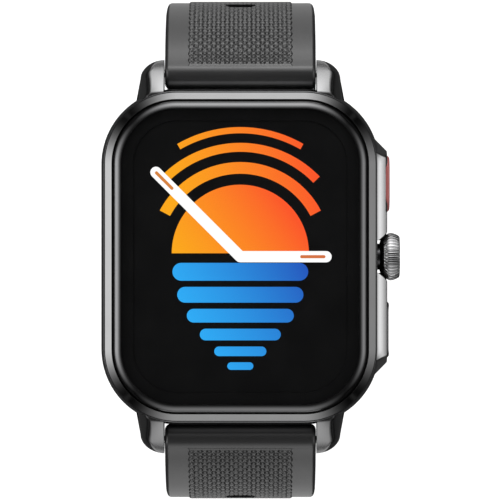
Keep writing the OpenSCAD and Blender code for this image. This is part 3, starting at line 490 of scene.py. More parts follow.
NOTCH_X = HALF_X - 0.28
NECK_R = 1.97
CROWN_SLOT = 2.4
SWEEP_GAP = 0.1
CROWN_X0 = HALF_X + 0.15
CROWN_X1 = CROWN_HIGH.x
CROWN_R = (CROWN_HIGH.z - CROWN_LOW.z) / 2
CROWN_TRAVEL = 0.15
CROWN_CURVE = (
    (0, 0.63), (0.05, 0.69), (0.1, 0.735), (0.19, 0.795), (0.29, 0.845), (0.4, 0.88), (0.45, 0.955),
    (0.52, 0.985), (0.62, 1), (0.75, 0.985), (0.87, 0.935), (0.96, 0.885), (1, 0.84),
)
GRIP_CURVE = (
    (0, 0.63), (0.05, 0.69), (0.1, 0.735), (0.19, 0.795), (0.29, 0.865), (0.33, 0.905), (0.36, 0.935),
    (0.4, 0.96), (0.45, 0.985), (0.51, 0.998), (0.56, 1), (0.64, 0.992), (0.75, 0.965), (0.87, 0.925),
    (0.96, 0.88), (1, 0.84),
)


def crown_radius(x, curve=CROWN_CURVE):
    """Radius of the crown at a place along its axis."""
    share = (x - CROWN_X0) / (CROWN_X1 - CROWN_X0)
    return CROWN_R * float(np.interp(share, *zip(*curve)))


def notch_radius(x):
    """Radius that the guard's notch leaves for the crown at x, with room to be pushed in and turned."""
    place = min(x + CROWN_TRAVEL + SWEEP_GAP, CROWN_X1)
    return max(crown_radius(place), crown_radius(place, GRIP_CURVE)) + SWEEP_GAP


def paint_gap_shade(obj, inside):
    """Paints the faces whose middles lie inside a region a dull black: painted shade for the shade that falls
    inside a deep gap.
    """
    obj.data.materials.append(GAP_SHADE_BLACK)
    last = len(obj.data.materials) - 1
    for face in obj.data.polygons:
        x, y, z = face.center / MM
        if inside(x, y, z - CROWN_AXIS_Z):
            face.material_index = last


def in_openings(x, y, z):
    """Whether a place lies on the walls of the crown's notch or of a button's pocket."""
    near = 0.012
    if x > NOTCH_X - near and x < GUARD_X - near:
        if abs(y) < notch_radius(x) + near:
            return True
    inner = GUARD_X - BUTTON_CAP - BUTTON_TRAVEL - near
    along_y = abs(abs(y) - BUTTON_OFFSET) < BUTTON_LENGTH / 2 + SWEEP_GAP + near
    return inner < x < GUARD_X - 0.14 and along_y and abs(z) < button_height(y) / 2 + SWEEP_GAP + near


def notch_places(count):
    """Places along the crown that lie in the guard's notch."""
    return [NOTCH_X] + [x for x in np.linspace(CROWN_X0, CROWN_X1, count) if x > NOTCH_X + 0.05]


def crown_sweep_cutter():
    """The room that the crown takes as it turns and is pushed in."""
    rows = [[(x, *place) for place in circle(notch_radius(x), 72, 0, CROWN_AXIS_Z)] for x in notch_places(20)]
    return loose("crown_room", *loft(rows))


def crown_shadow_cutter():
    """Cuts the guard's upper half along the crown's outline as seen from above."""
    side = [(x, notch_radius(x)) for x in notch_places(30)]
    plan = side + [(x, -r) for x, r in reversed(side)]
    return loose("crown_shadow", *loft([[(x, y, z) for x, y in plan] for z in (CROWN_AXIS_Z, SEAT_Z + 1)]))


def crown_slot_cutter():
    """Opens the guard below the crown, from the notch outwards."""
    return block(
        "crown_slot", (NOTCH_X, -CROWN_SLOT, FRAME_Z - 1), (GUARD_X + 1, CROWN_SLOT, SEAT_Z + 0.5)
    )


BUTTON_OFFSET = 10.7
BUTTON_LENGTH = 8.2
BUTTON_CAP = 1.05
BUTTON_TRAVEL = 0.25
BUTTON_STEM_R = 0.7
BUTTON_SOFT = 0.34
LOWER_RIM = 0.45
BUTTON_EASE = (2.6, 1.7)


def button_height(y):
    """Height of the button on one side of the crown: y is above zero for the upper button."""
    low, high = box("upper_button" if y > 0 else "lower_button")
    return high.z - low.z


def pill(length, height, steps=16):
    """Pill outline round the origin, longer along the first axis."""
    r = height / 2
    half = length / 2 - r
    return arc(half, 0, r, r, -90, 90, steps) + arc(-half, 0, r, r, 90, 270, steps)


def pill_loft(rings):
    """Closed pill through (x, length, height) rings, along X."""
    return loft([[(x, y, z) for y, z in pill(length, height)] for x, length, height in rings])


def button_pocket(y):
    """Cutter for the room of the button whose middle is at y, with a small chamfer at the guard's face."""
    x0 = GUARD_X - BUTTON_CAP - BUTTON_TRAVEL
    length = BUTTON_LENGTH + 2 * SWEEP_GAP
    height = button_height(y) + 2 * SWEEP_GAP
    edge = 0.12
    points, faces = pill_loft((
        (x0, length, height),
        (GUARD_X - edge, length, height),
        (GUARD_X + 0.02, length + 2 * edge, height + 2 * edge),
        (GUARD_X + 1, length + 2 * edge, height + 2 * edge),
    ))
    return loose("pocket", [(px, py + y, pz + CROWN_AXIS_Z) for px, py, pz in points], faces)


def control_cutters():
    """Cutters for the room of the crown and the two buttons."""
    return [
        crown_slot_cutter(), crown_sweep_cutter(), crown_shadow_cutter(),
        button_pocket(BUTTON_OFFSET), button_pocket(-BUTTON_OFFSET),
    ]


def make_case_wall():
    """Side wall of the case: one section carried round, with the openings cut into it."""
    z0, z1 = FRAME_Z, SEAT_Z
    seam = SEAM_WIDTH - BEZEL_INSET
    section = rounded([
        (0.06, z0 + 2, 0), (0.06, z1 - 1.4, 1.0),
        (seam + SEAM_LIP + 0.02, z1 - 0.1, 0.12), (seam + SEAM_LIP / 2, z1, 0.06),
        (seam, z1, 0.02), (seam, z1 - SEAM_DEPTH, 0),
        (-BEZEL_INSET - 0.2, z1 - SEAM_DEPTH, 0), (-BEZEL_INSET - 0.2, z1, 0), (-WALL, z1, 0),
        (-WALL, z0 + BACK_REBATE, 0), (-BACK_LIP, z0 + BACK_REBATE, 0), (-BACK_LIP, z0 + 0.1, 0),
        (-BACK_LIP + 0.1, z0, 0), (0, z0, EDGE_SOFT),
    ], 0.1, 8)
    wall = add_piece("case_wall", *ring(CASE_PATH, section), "case", "case_black", ["case_frame"])
    half_y, half_z = SPEAKER_SLOT_LENGTH / 2, SPEAKER_SLOT_HEIGHT / 2
    slots = [
        block("slot", (-HALF_X - 1, y - half_y, CROWN_AXIS_Z - half_z),
              (-HALF_X + WALL + 0.5, y + half_y, CROWN_AXIS_Z + half_z))
        for y in SPEAKER_SLOTS
    ]
    bore = loose("bore", *rod_x(NECK_R + SWEEP_GAP, HALF_X - 0.9, HALF_X + 1, 0, CROWN_AXIS_Z))
    cut(wall, slots + [bore] + control_cutters())


LUG_INNER = 11.2
LUG_REACH = 2.04
LUG_ROOT_WIDTH = 4.1
LUG_TIP_WIDTH = 3.52
LUG_TIP_LENGTH = 2.8
LUG_FLANK = 0.35
LUG_TOP_WIDTH = 3.5
LUG_TILT = (30.0, 46.0)
LUG_CROWN_R = 3.0
LUG_DROP = 0.19
LUG_SWEEP_RUN = 3.1
BAR_Y = UPPER_BAR.y
BAR_Z = UPPER_BAR.z


def lug_top(y):
    """Height of the lug's polished top at a distance y: it steepens steadily from the case to the tip."""
    start, tip = HALF_Y - 0.2, BAR_Y + LUG_REACH
    first, last = (math.radians(a) for a in LUG_TILT)
    bend = (last - first) / (tip - start)
    tilt = first + bend * (min(y, tip) - start)
    if y < start:
        return SEAT_Z - LUG_DROP + (start - y) * math.tan(first)
    return SEAT_Z - LUG_DROP - (math.log(math.cos(first)) - math.log(math.cos(tilt))) / bend


def lug_sweep(x, y):
    """Drop of the lug's top beyond its inner edge: near the case it leans towards the case's round corner."""
    r = CORNER_R - BEZEL_INSET + SEAM_WIDTH

    def seam(at):
        return math.sqrt(max(0.0, r * r - (at - CENTRE_X) ** 2))

    near = float(np.interp(x, (LUG_INNER + 1.8, LUG_INNER + 2.8), (0.35, 1.0)))
    share = near * max(0.0, min(1.0, (HALF_Y - 0.3 + LUG_SWEEP_RUN - y) / LUG_SWEEP_RUN))
    return lug_top(y + (seam(LUG_INNER) - seam(x)) * share) - lug_top(y)


def lug_heights(y):
    """Lowest and highest z of the lug at a distance y from the watch's middle."""
    swing = max(0.0, min(1.0, (y - BAR_Y) / LUG_REACH))
    nose = LUG_REACH * math.sqrt(max(0.0, 1 - swing * swing))
    low = BAR_Z - nose
    if y <= BAR_Y:
        low = float(np.interp(y, (HALF_Y - 2, BAR_Y), (FRAME_Z + 0.5, BAR_Z - LUG_REACH)))
    return low, max(low + 0.06, lug_top(y))


def lug_outer(y):
    """Outer x of the lug at a distance y: its tip is a quarter of an oval."""
    start = BAR_Y + LUG_REACH - LUG_TIP_LENGTH
    if y < start:
        return LUG_INNER + float(np.interp(y, (HALF_Y - 1.6, start), (LUG_ROOT_WIDTH, LUG_TIP_WIDTH)))
    share = min(1.0, (y - start) / LUG_TIP_LENGTH)
    return LUG_INNER + LUG_TIP_WIDTH * math.sqrt(max(0.0004, 1 - share * share))


def make_lugs():
    """The four lugs, each a run of sections from the case to its tip."""
    tip = BAR_Y + LUG_REACH
    straight = list(np.linspace(HALF_Y - 2.6, BAR_Y, 26))
    nose = [BAR_Y + LUG_REACH * math.sin(math.radians(a)) for a in np.linspace(4, 89.4, 30)]
    soft = 0.5
    for name, sx, sy in (("lug_1", 1, 1), ("lug_2", -1, 1), ("lug_3", -1, -1), ("lug_4", 1, -1)):
        rows = []
        for y in straight + nose:
            low, high = lug_heights(min(y, tip - 0.001))
            outer = lug_outer(min(y, tip - 0.001))
            tall = high - low
            wide = outer - LUG_INNER
            top = LUG_INNER + min(LUG_TOP_WIDTH, wide - LUG_FLANK * min(1.0, wide / 3, tall / 3))
            hip = low + tall * 0.42
            r = min(soft, tall * 0.3, wide * 0.25)
            corners = [
                (LUG_INNER, low, r * 0.4), (outer - 0.1 * (outer - top), low, r), (outer, hip, r * 2.5),
                (top, high, LUG_CROWN_R), (LUG_INNER, high, min(0.04, r)),
            ]
            section = [
                (x, min(SEAT_Z - 0.1, z + lug_sweep(x, y)) if z > hip else z)
                for x, z in rounded(corners, r, 10)
            ]
            rows.append([(sx * x, sy * y, z) for x, z in section])
        add_piece(name, *loft(rows), "case", "case_black", ["case_frame"], [LUG_POLISH])


GUARD_HALF = 15.45
GUARD_SLOPE = 1.9
GUARD_FOOT = HALF_X - 0.6
GUARD_ARCS = ((2.75, 14, 30), (5.3, 30, 43))
GUARD_TOP = SEAT_Z - 0.12
GUARD_EDGE_R = 0.2
GUARD_FACE = GUARD_X - 0.06
GUARD_TOP_HALF = 15.25
GUARD_TOP_SLOPE = 0.62
GUARD_BLEND = 0.7


def guard_section():
    """Upper half of the guard's section, from its top at the bezel to its face: (x, z above the axis)."""
    x, z = HALF_X - BEZEL_INSET, GUARD_TOP
    dome = [(x, z)]
    for radius, first, last in GUARD_ARCS:
        steps = np.radians(np.linspace(first, last, 12))
        made = [
            (x + radius * (math.sin(a) - math.sin(steps[0])), z - radius * (math.cos(steps[0]) - math.cos(a)))
            for a in steps[1:]
        ]
        dome += made
        x, z = made[-1]
    edge_z = z - (GUARD_FACE - x) * math.tan(steps[-1])
    edge = [(x, z, 0), (GUARD_FACE, edge_z, GUARD_EDGE_R), (GUARD_FACE, CROWN_AXIS_Z, 0)]
    outer = rounded(edge, 0, 6)[1:-1]
    points = [(HALF_X - 1.2, GUARD_TOP)] + dome + outer
    return [(x, z - CROWN_AXIS_Z) for x, z in points]


def guard_end(x):
    """Half length of the guard's outline at x."""
    return GUARD_HALF + GUARD_SLOPE * min(1.0, (GUARD_X - x) / (GUARD_X - GUARD_FOOT))


def guard_lean(x):
    """Half length of the guard's top, where its end begins to fall away."""
    return GUARD_TOP_HALF - GUARD_TOP_SLOPE * (max(x, GUARD_FOOT) - GUARD_FOOT)


def soft_min(a, b, blend):
    """The lesser of two numbers, rounded off where they are closer than blend."""
    gap = max(0.0, blend - abs(a - b)) / blend
    return min(a, b) - gap * gap * blend / 4


def make_guard():
    """The guard round the crown and buttons: its section swept along, and drawn in at both ends."""
    upper = guard_section()
    top = SEAT_Z + 0.1 - CROWN_AXIS_Z
    rows = []

    def add_row(place, limit):
        half = [(x, place(x), soft_min(z, limit, GUARD_BLEND) if limit > 0 else 0) for x, z in upper]
        rows.append([(x, y, CROWN_AXIS_Z + z) for x, y, z in half]
                    + [(x, y, CROWN_AXIS_Z - z) for x, y, z in reversed(half)])

    ends = np.linspace(1, 0, 20)
    for t in ends:
        add_row(lambda x: -(guard_lean(x) + t * (guard_end(x) - guard_lean(x))), top * (1 - t))
    for share in np.linspace(-1, 1, 27)[1:-1]:
        add_row(lambda x: share * guard_lean(x), 99)
    for t in reversed(ends):
        add_row(lambda x: guard_lean(x) + t * (guard_end(x) - guard_lean(x)), top * (1 - t))
    points = [p for row in rows for p in row]
    faces = tube_faces(len(rows), len(rows[0]), caps=False)
    # The guard wears the lighter metal, as painted light.
    guard = add_piece("guard", points, faces, "case", "case_black", ["case_frame"], [GUARD_LIT_METAL])
    cut(guard, control_cutters())
    # The walls of the crown's notch and of the button pockets get painted shade.
    paint_gap_shade(guard, in_openings)


# ---------------- bezel and glass
CHAMFER_WIDTH = 1.0
CHAMFER_RISE = 0.8
BEZEL_SIDE = 0.5
LEDGE = 0.4
GLASS_GAP = 0.3
GLASS_RIM = 1.1


def make_bezel():
    """Chamfered ring round the glass, polished outside, with painted shade on its faces towards the gap
    inside.
    """
    r1 = -BEZEL_INSET
    r0 = r1 - CHAMFER_WIDTH
    top = SEAT_Z + BEZEL_SIDE + CHAMFER_RISE
    soft = 0.03
    bright = rounded([
        (r1 - 0.12, SEAT_Z, 0), (r1 - 0.12, SEAT_Z + 0.1, 0),
        (r1, SEAT_Z + 0.1, 0), (r1, SEAT_Z + BEZEL_SIDE, soft),
        (r0, top, soft), (r0, top - 0.1, 0), (r0, SEAT_Z + LEDGE, 0),
        (-WALL - 0.1, SEAT_Z + LEDGE, 0), (-WALL - 0.1, SEAT_Z, 0),
    ], soft)
    points, faces = ring(CASE_PATH, bright)
    count = len(bright)
    # The inner wall and the ledge towards the gap get painted shade in place of their polish.
    dark_from = next(i for i, p in enumerate(bright) if p[0] < r1 - 0.5 and p[1] < top - 0.06)
    shades = [1 if (i % count) >= dark_from else 0 for i in range(len(faces))]
    add_piece("bezel", points, faces, "case", "bezel_polish", ["bezel_ring"],
              [MATERIALS["bezel_polish"], GAP_SHADE_BLACK], shades)


def make_glass():
    """The cover glass: its polished curved rim, and the clear flat within it."""
    edge = -(BEZEL_INSET + CHAMFER_WIDTH + GLASS_GAP)
    bottom, top = GLASS_LOW.z, GLASS_HIGH.z
    first, last = math.radians(4), math.radians(52)
    radius = GLASS_RIM / (math.sin(last) - math.sin(first))
    curve = [
        (edge - GLASS_RIM + radius * (math.sin(a) - math.sin(first)),
         top - radius * (math.cos(first) - math.cos(a)))
        for a in np.linspace(first, last, 14)
    ]
    inside = edge - GLASS_RIM
    section = [(inside, top)] + curve[1:] + [(edge, bottom), (inside, bottom)]
    add_piece("glass_edge", *ring(CASE_PATH, section), "case", "cover_glass", ["cover_glass"], [GLASS_EDGE])
    flat = [[(px + dx * (inside + 0.004), py + dy * (inside + 0.004), z) for (px, py), (dx, dy) in CASE_PATH]
            for z in (bottom + 0.3, top)]
    add_piece("glass_flat", *loft(flat), "case", "cover_glass", ["cover_glass"])
    border = [(inside - 0.01, bottom + 0.05), (inside - 0.01, bottom + 0.25), (inside - 1.7, bottom + 0.25),
              (inside - 1.7, bottom + 0.05)]
    add_piece("glass_print", *ring(CASE_PATH, border), "case", "cover_glass", ["cover_glass"],
              [MATERIALS["display"]])


# ---------------- dial: a sunrise over water, and plain hands
DIAL_STEP = 0.006
HAND_WIDTH, INLAY_WIDTH = 1.64, 0.46
SUN_R = 10.0
HORIZON_Y = 0.5
WAVE_GAP = 0.9


def dial_piece(name, outline_points, level, material):
    """A lit flat shape just above the display. level orders overlapping shapes."""
    z0 = DISPLAY_TOP - 0.01
    z1 = DISPLAY_TOP + 0.002 + level * DIAL_STEP
    rows = [[(x, y, z) for x, y in outline_points] for z in (z0, z1)]
    add_piece(name, *loft(rows), "case", "display", (), [material])


def band(radius_in, radius_out, first, last, steps=48):
    """Outline of a stretch of a flat ring, between two angles."""
    outside = arc(0, 0, radius_out, radius_out, first, last, steps)
    return outside + arc(0, 0, radius_in, radius_in, last, first, steps)


def turned_pill(x0, y0, x1, y1, width, steps=16):
    """Pill from one place to another."""
    along = Vector((x1 - x0, y1 - y0))
    a = math.degrees(math.atan2(along.y, along.x))
    r = width / 2
    return arc(x1, y1, r, r, a - 90, a + 90, steps) + arc(x0, y0, r, r, a + 90, a + 270, steps)


def make_dial():
    """Sun with three arches above the horizon, a stack of waves below it, and two hands with inlays."""
    orange = (srgb(255, 170, 15), srgb(255, 85, 36))
    blue = (srgb(43, 176, 251), srgb(28, 60, 180))
    disc = [(x, y + HORIZON_Y) for x, y in arc(0, 0, SUN_R, SUN_R, 0, 180, 64)]
    dial_piece("dial_sun", disc, 0, lit("lit_sun", *orange, (-9, 0), (5, 10)))
    for i, (inner, outer, spread_deg) in enumerate(((11.6, 13.3, 62), (14.8, 16.1, 46), (17.5, 18.4, 30))):
        arch = [(x, y + HORIZON_Y) for x, y in band(inner, outer, 90 - spread_deg, 90 + spread_deg)]
        dial_piece(f"dial_ray_{i + 1}", arch, 0, lit(f"lit_ray_{i + 1}", *orange, (-10, 10), (10, 15)))
    y = -WAVE_GAP
    waves = ((9.9, 2.6), (9.2, 2.3), (7.8, 2.0), (5.9, 1.7), (3.8, 1.4), (1.9, 1.1))
    for i, (half, height) in enumerate(waves):
        y -= height / 2
        bar = turned_pill(height / 2 - half, y, half - height / 2, y, height)
        dial_piece(f"dial_wave_{i + 1}", bar, 0, lit(f"lit_wave_{i + 1}", *blue, (-9, -8), (11, 2)))
        y -= height / 2 + WAVE_GAP
    white = lit("lit_hand", srgb(254, 254, 254), srgb(254, 254, 254), (-20, 0), (20, 0), 1.06)
    inlay = lit("lit_inlay", srgb(219, 135, 58), srgb(214, 112, 62), (-14, 14), (14, 0))
    slant = math.sqrt(0.5)
    long_tip, short_tip = 17.4, 12.5
    dial_piece("dial_long_hand", turned_pill(0, 0, -long_tip * slant, long_tip * slant, HAND_WIDTH), 1, white)
    dial_piece("dial_short_hand", turned_pill(0, 0, short_tip, 0, HAND_WIDTH), 2, white)
    dial_piece("dial_long_inlay", turned_pill(
        -14.1 * slant, 14.1 * slant, -17.3 * slant, 17.3 * slant, INLAY_WIDTH, 6), 3, inlay)
    dial_piece("dial_short_inlay", turned_pill(8.95, 0, 12.2, 0, INLAY_WIDTH, 6), 3, inlay)


# ---------------- crown and buttons
CROWN_RIBS = 36
RIB_DEPTH = 0.2
# Share of the crown, from its inner end, that is darkened as painted shade.
SHADED_FLANK_SHARE = 0.2
RIB_SHAPE = (0, 0, 0, 0, 0, 0, 0.15, 0.7, 1, 1, 0.7, 0.15)


def make_crown():
    """Knurled knob: flat-topped ribs along its axis, small teeth round its flat end, and a plain neck; its
    inner flank is darkened as painted shade.
    """
    around = CROWN_RIBS * len(RIB_SHAPE)
    rows = []

    def add_row(x, r, depth):
        row = []
        for k in range(around):
            a = 2 * math.pi * k / around
            grooved = r - depth * RIB_SHAPE[k % len(RIB_SHAPE)]
            row.append((x, grooved * math.cos(a), CROWN_AXIS_Z + grooved * math.sin(a)))
        rows.append(row)

    def add_rows(*stops):
        for stop in stops:
            add_row(*stop)

    neck_end = HALF_X - 0.25 - CROWN_TRAVEL
    add_rows((neck_end, 0.9, 0), (neck_end, NECK_R - 0.15, 0), (neck_end + 0.1, NECK_R - 0.05, 0),
             (CROWN_X0 - 0.02, NECK_R - 0.05, 0), (CROWN_X0, NECK_R, 0),
             (CROWN_X0, crown_radius(CROWN_X0, GRIP_CURVE) - 0.12, 0))
    length = CROWN_X1 - CROWN_X0
    for share in np.concatenate([np.linspace(0.015, 0.93, 36), np.linspace(0.945, 1.0, 7)]):
        fade = min(1.0, max(0.0, share - 0.05) / 0.3)
        x = CROWN_X0 + share * length
        add_row(x, crown_radius(x, GRIP_CURVE), RIB_DEPTH * fade)
    end_r = CROWN_R * GRIP_CURVE[-1][1]
    add_rows((CROWN_X1, end_r - 0.1, RIB_DEPTH), (CROWN_X1 - 0.08, end_r - 0.28, 0.02),
             (CROWN_X1 - 0.1, end_r - 0.5, 0), (CROWN_X1 - 0.02, end_r - 0.62, 0), (CROWN_X1 - 0.02, 0.3, 0))
    crown = add_piece("crown_grip", *loft(rows), "crown", "crown_black", ["crown_knob"])
    # Painted shade: the crown's inner flank takes the darker button_black metal so that it looks shaded.
    crown.data.materials.append(MATERIALS["button_black"])
    for face in crown.data.polygons:
        if face.center.x / MM < CROWN_X0 + SHADED_FLANK_SHARE * length:
            face.material_index = 1


def button_rings(proud_face, height, rim):
    """Rings of a button from its back to its face. rim is the width of a raised edge, or nothing."""
    length = BUTTON_LENGTH
    x0 = GUARD_X - BUTTON_CAP + SWEEP_GAP
    soft, (ease_l, ease_h) = BUTTON_SOFT, BUTTON_EASE
    rings = [(x0, length - 0.2, height - 0.2), (x0 + 0.1, length, height)]
    for c, s in map(unit, np.linspace(0, 90, 9)):
        inset = soft * (1 - c)
        rings.append((proud_face - soft + soft * s, length - ease_l * inset, height - ease_h * inset))
    if rim:
        inner_l, inner_h = length - ease_l * soft - 2 * rim, height - ease_h * soft - 0.7 * rim
        rings += [(proud_face, inner_l, inner_h), (proud_face - 0.12, inner_l - 0.1, inner_h - 0.1)]
    return rings


def make_button(name, sign, slot, rim):
    """A button's cap and stem. With a rim, its face is hollowed and its middle lies a little lower."""
    waist, sunk = (0.09, 0.05) if rim else (0.0, 0.0)
    low, high = box(name)
    points, faces = pill_loft(button_rings(high.x - sunk, button_height(sign), rim))

    def dip(x, y):
        end = min(1.0, abs(y) / (0.43 * BUTTON_LENGTH))
        return waist * (1 - end ** 8) if x > GUARD_X - 0.2 else 0.0

    placed = [(x - dip(x, y), y + sign * BUTTON_OFFSET, z + CROWN_AXIS_Z) for x, y, z in points]
    add_piece(f"{name}_cap", placed, faces, name, slot, [name])
    stem = rod_x(BUTTON_STEM_R, low.x, GUARD_X - BUTTON_CAP + SWEEP_GAP + 0.2,
                 sign * BUTTON_OFFSET, CROWN_AXIS_Z, 24)
    add_piece(f"{name}_stem", *stem, name, slot, [name])


# ---------------- strap
STRAP_WIDTH = 22.2
STRAP_SHOULDER = 0.02
STRAP_END_WIDTH = 20.0
STRAP_THICKNESS = 2.5
BARREL_R = 2.1
ROOT_R = 2.3
BARREL_TAPER = 7.0
LOOP_R = 1.7
PANEL_WIDTH = 15.2
PANEL_RISE = 0.2
NARROW_Z = 20.0
EDGE_R = 0.6
HOLE_WIDTH, HOLE_LENGTH, HOLE_PITCH = 4.4, 2.2, 7.0


def turn_run(radius, degrees):
    """A stretch of strap that bends: (length, turn)."""
    return (radius * math.radians(degrees), -degrees)


UPPER_START = (UPPER_BAR.y, UPPER_BAR.z, -29.0)
UPPER_ROUTE = [(2.5, 0), turn_run(15, 36), turn_run(19, 25), turn_run(40, 25)]
LOWER_START = (-LOWER_BAR.y, LOWER_BAR.z, -34.0)
LOWER_ROUTE = [(2.0, 0), turn_run(14.8, 56), (42.0, 0), turn_run(9, 90), (29.0, 0)]


def advance(place, run, turn):
    """The (y, z, heading) that a straight or bent stretch of strap leads to."""
    y, z, heading = place
    a, t = math.radians(heading), math.radians(turn)
    if abs(turn) < 0.01:
        return (y + run * math.cos(a), z + run * math.sin(a), heading)
    r = run / t
    return (y + r * (math.sin(a + t) - math.sin(a)), z - r * (math.cos(a + t) - math.cos(a)), heading + turn)


def along(route, start, s):
    """Place and heading at a distance s along a strap half."""
    place = start
    for i, (run, turn) in enumerate(route):
        if s <= run or i == len(route) - 1:
            return advance(place, s, turn * s / run)
        place = advance(place, run, turn)
        s -= run


def total(route):
    """Length of a route."""
    return sum(run for run, _ in route)


knee = along(UPPER_ROUTE, UPPER_START, total(UPPER_ROUTE))
UPPER_ROUTE.append(((knee[1] - BUCKLE_BAR.z) / -math.sin(math.radians(knee[2])), 0))
UPPER_LENGTH = total(UPPER_ROUTE)
LOWER_LENGTH = total(LOWER_ROUTE)


def half_width(z):
    """Half the strap's width at a height above the table."""
    root = STRAP_WIDTH / 2
    wide = root + STRAP_SHOULDER
    places = (NARROW_Z, BAR_Z - 8, BAR_Z - 2.3, BAR_Z - 1.2)
    return float(np.interp(z, places, (STRAP_END_WIDTH / 2, wide, wide, root)))


Half = namedtuple("Half", "side route start length end_r tip_round mirror holes panel_end")
UPPER_FIRST_HOLE = 14.6
LOWER_FIRST_HOLE = 12.9
LOWER_COUNT = int((LOWER_LENGTH - LOWER_FIRST_HOLE - 9) / HOLE_PITCH) + 1
UPPER = Half("upper", UPPER_ROUTE, UPPER_START, UPPER_LENGTH, LOOP_R, 0, 1,
             [UPPER_FIRST_HOLE + HOLE_PITCH * k for k in range(3)], UPPER_LENGTH - 31)
LOWER = Half("lower", LOWER_ROUTE, LOWER_START, LOWER_LENGTH, 0, STRAP_END_WIDTH / 2, -1,
             [LOWER_FIRST_HOLE + HOLE_PITCH * k for k in range(LOWER_COUNT)], total(LOWER_ROUTE[:3]))


def facing(half, s):
    """Place at a distance s along a strap half, and its outward direction: (y, z, outward y, outward z)."""
    y, z, heading = along(half.route, half.start, s)
    c, d = unit(heading)
    return y, z, -d, c


def half_thickness(half, s):
    """Half the strap's thickness: more near its root, and at a looped end."""
    flat = STRAP_THICKNESS / 2
    if s < BARREL_TAPER:
        return flat + (BARREL_R - flat) * (1 - s / BARREL_TAPER) ** 2
    if half.end_r > flat and s > half.length - 4:
        return flat + (half.end_r - flat) * (s - half.length + 4) / 4
    return flat


def strap_stations(half, s0, s1, step):
    """Distances along a strap half, closer where it bends."""
    stops, s = [s0], 0.0
    for run, turn in half.route:
        count = max(2, int(math.ceil(max(run / (3.0 if turn == 0 else step), 1))))
        stops += [s + run * k / count for k in range(count + 1)]
        s += run
    stops += [k for k in np.arange(0, BARREL_TAPER, 0.5)] + [s1]
    return sorted({round(k, 5) for k in stops if s0 <= k <= s1})


ROOT_CORNER = 0.3


def root_profile(half):
    """The strap's rounded root, from its underside to its top, with a soft corner towards the case."""
    face_y, corner = HALF_Y + 0.1, ROOT_CORNER
    y0, z0, heading = along(half.route, half.start, 0)
    root = []
    for turn in np.linspace(262, 93, 40):
        dy, dz = unit(heading + turn)
        r = float(np.interp(turn, (120, 180, 235, 255), (BARREL_R, ROOT_R, ROOT_R, BARREL_R)))
        over = corner - (y0 + r * dy - face_y)
        less = corner - math.sqrt(max(0.0, corner ** 2 - over ** 2)) if over > 0 else 0.0
        root.append((y0 + r * dy, z0 + r * dz, dy, dz, STRAP_WIDTH / 2 - less))
    return root


def strap_profile(half):
    """Side outline of a strap half: (y, z, inset direction y, z, half width) for each point."""
    outer, inner = [], []
    for s in strap_stations(half, 0.05, half.length, 0.7):
        y, z, ny, nz = facing(half, s)
        h = half_thickness(half, s)
        wide = half_width(z)
        over = half.tip_round - (half.length - s)
        if over > 0:
            wide = math.sqrt(max(0.0001, half.tip_round ** 2 - over ** 2)) * wide / half.tip_round
        outer.append((y + ny * h, z + nz * h, ny, nz, wide))
        inner.append((y - ny * h, z - nz * h, -ny, -nz, wide))
    tip_y, tip_z, heading = along(half.route, half.start, half.length)
    tip_h = half_thickness(half, half.length)
    cap = []
    for dy, dz in map(unit, np.linspace(heading + 75, heading - 75, 11)):
        cap.append((tip_y + tip_h * dy, tip_z + tip_h * dz, dy, dz, outer[-1][4]))
    return outer, cap, list(reversed(inner)), root_profile(half)


def make_strap_body(half, extra_cuts):
    """A strap half: its side outline carried across its width, with rounded edges."""
    outer, cap, inner, root = strap_profile(half)
    profile = outer + cap + inner + root
    rows = []
    for side in (-1, 1):
        made = []
        for c, d in map(unit, np.linspace(90, 0, 7)):
            inset, reach = EDGE_R * (1 - c), EDGE_R * d
            made.append([
                (side * max(0.02, w - EDGE_R + reach), half.mirror * (y - dy * inset), z - dz * inset)
                for y, z, dy, dz, w in profile
            ])
        rows += made if side < 0 else list(reversed(made))
    count = len(profile)
    points = [p for row in rows for p in row]
    faces = tube_faces(len(rows), count, caps=False)
    n_out, n_cap, n_in = len(outer), len(cap), len(inner)
    for base, flip in ((0, False), ((len(rows) - 1) * count, True)):
        side_faces = []
        for i in range(n_out - 1):
            far = n_out + n_cap + n_in - 1 - i
            side_faces.append((base + i, base + far, base + far - 1, base + i + 1))
        side_faces.append(tuple(base + k for k in range(n_out - 1, n_out + n_cap + 1)))
        side_faces.append(tuple(base + k for k in list(range(n_out + n_cap + n_in - 1, count)) + [0]))
        faces += [tuple(reversed(f)) for f in side_faces] if flip else side_faces
    strap = add_piece(f"strap_{half.side}_body", points, faces, f"{half.side}_strap", "strap_silicone",
                      [f"strap_{half.side}"])
    cut(strap, [hole_cutter(half, s) for s in half.holes] + extra_cuts)


def on_strap(half, s):
    """Function that carries (x, along, out) from a place on a strap half into the frame."""
    y, z, ny, nz = facing(half, s)
    return lambda x, v, n: (x, half.mirror * (y + v * nz + n * ny), z - v * ny + n * nz)


def hole_cutter(half, s):
    """Cutter for one hole of a strap half, with a small chamfer at the panel's face."""
    place = on_strap(half, s)
    depth = STRAP_THICKNESS / 2 + 0.6
    edge = 0.12
    face = STRAP_THICKNESS / 2 + PANEL_RISE
    rows = []
    for n, grow in ((-depth, 0), (face - edge, 0), (face + 0.02, edge), (depth + 0.4, edge)):
        rows.append([place(x, v, n) for x, v in pill(HOLE_WIDTH + 2 * grow, HOLE_LENGTH + 2 * grow)])
    return loose("hole", *loft(rows))


PANEL_START = 0.1
TEXTURE_START = 0.2
PITCH_X = 1.31
PITCH_S = 1.25
TEXTURE_STEP = 0.105
PANEL_SUNK = 0.35
PANEL_WAVE = 0.11
PANEL_SOFT = 0.16
KNOT_DEPTH, KNOT_R, KNOT_WIDTH = 0.13, 0.30, 0.085


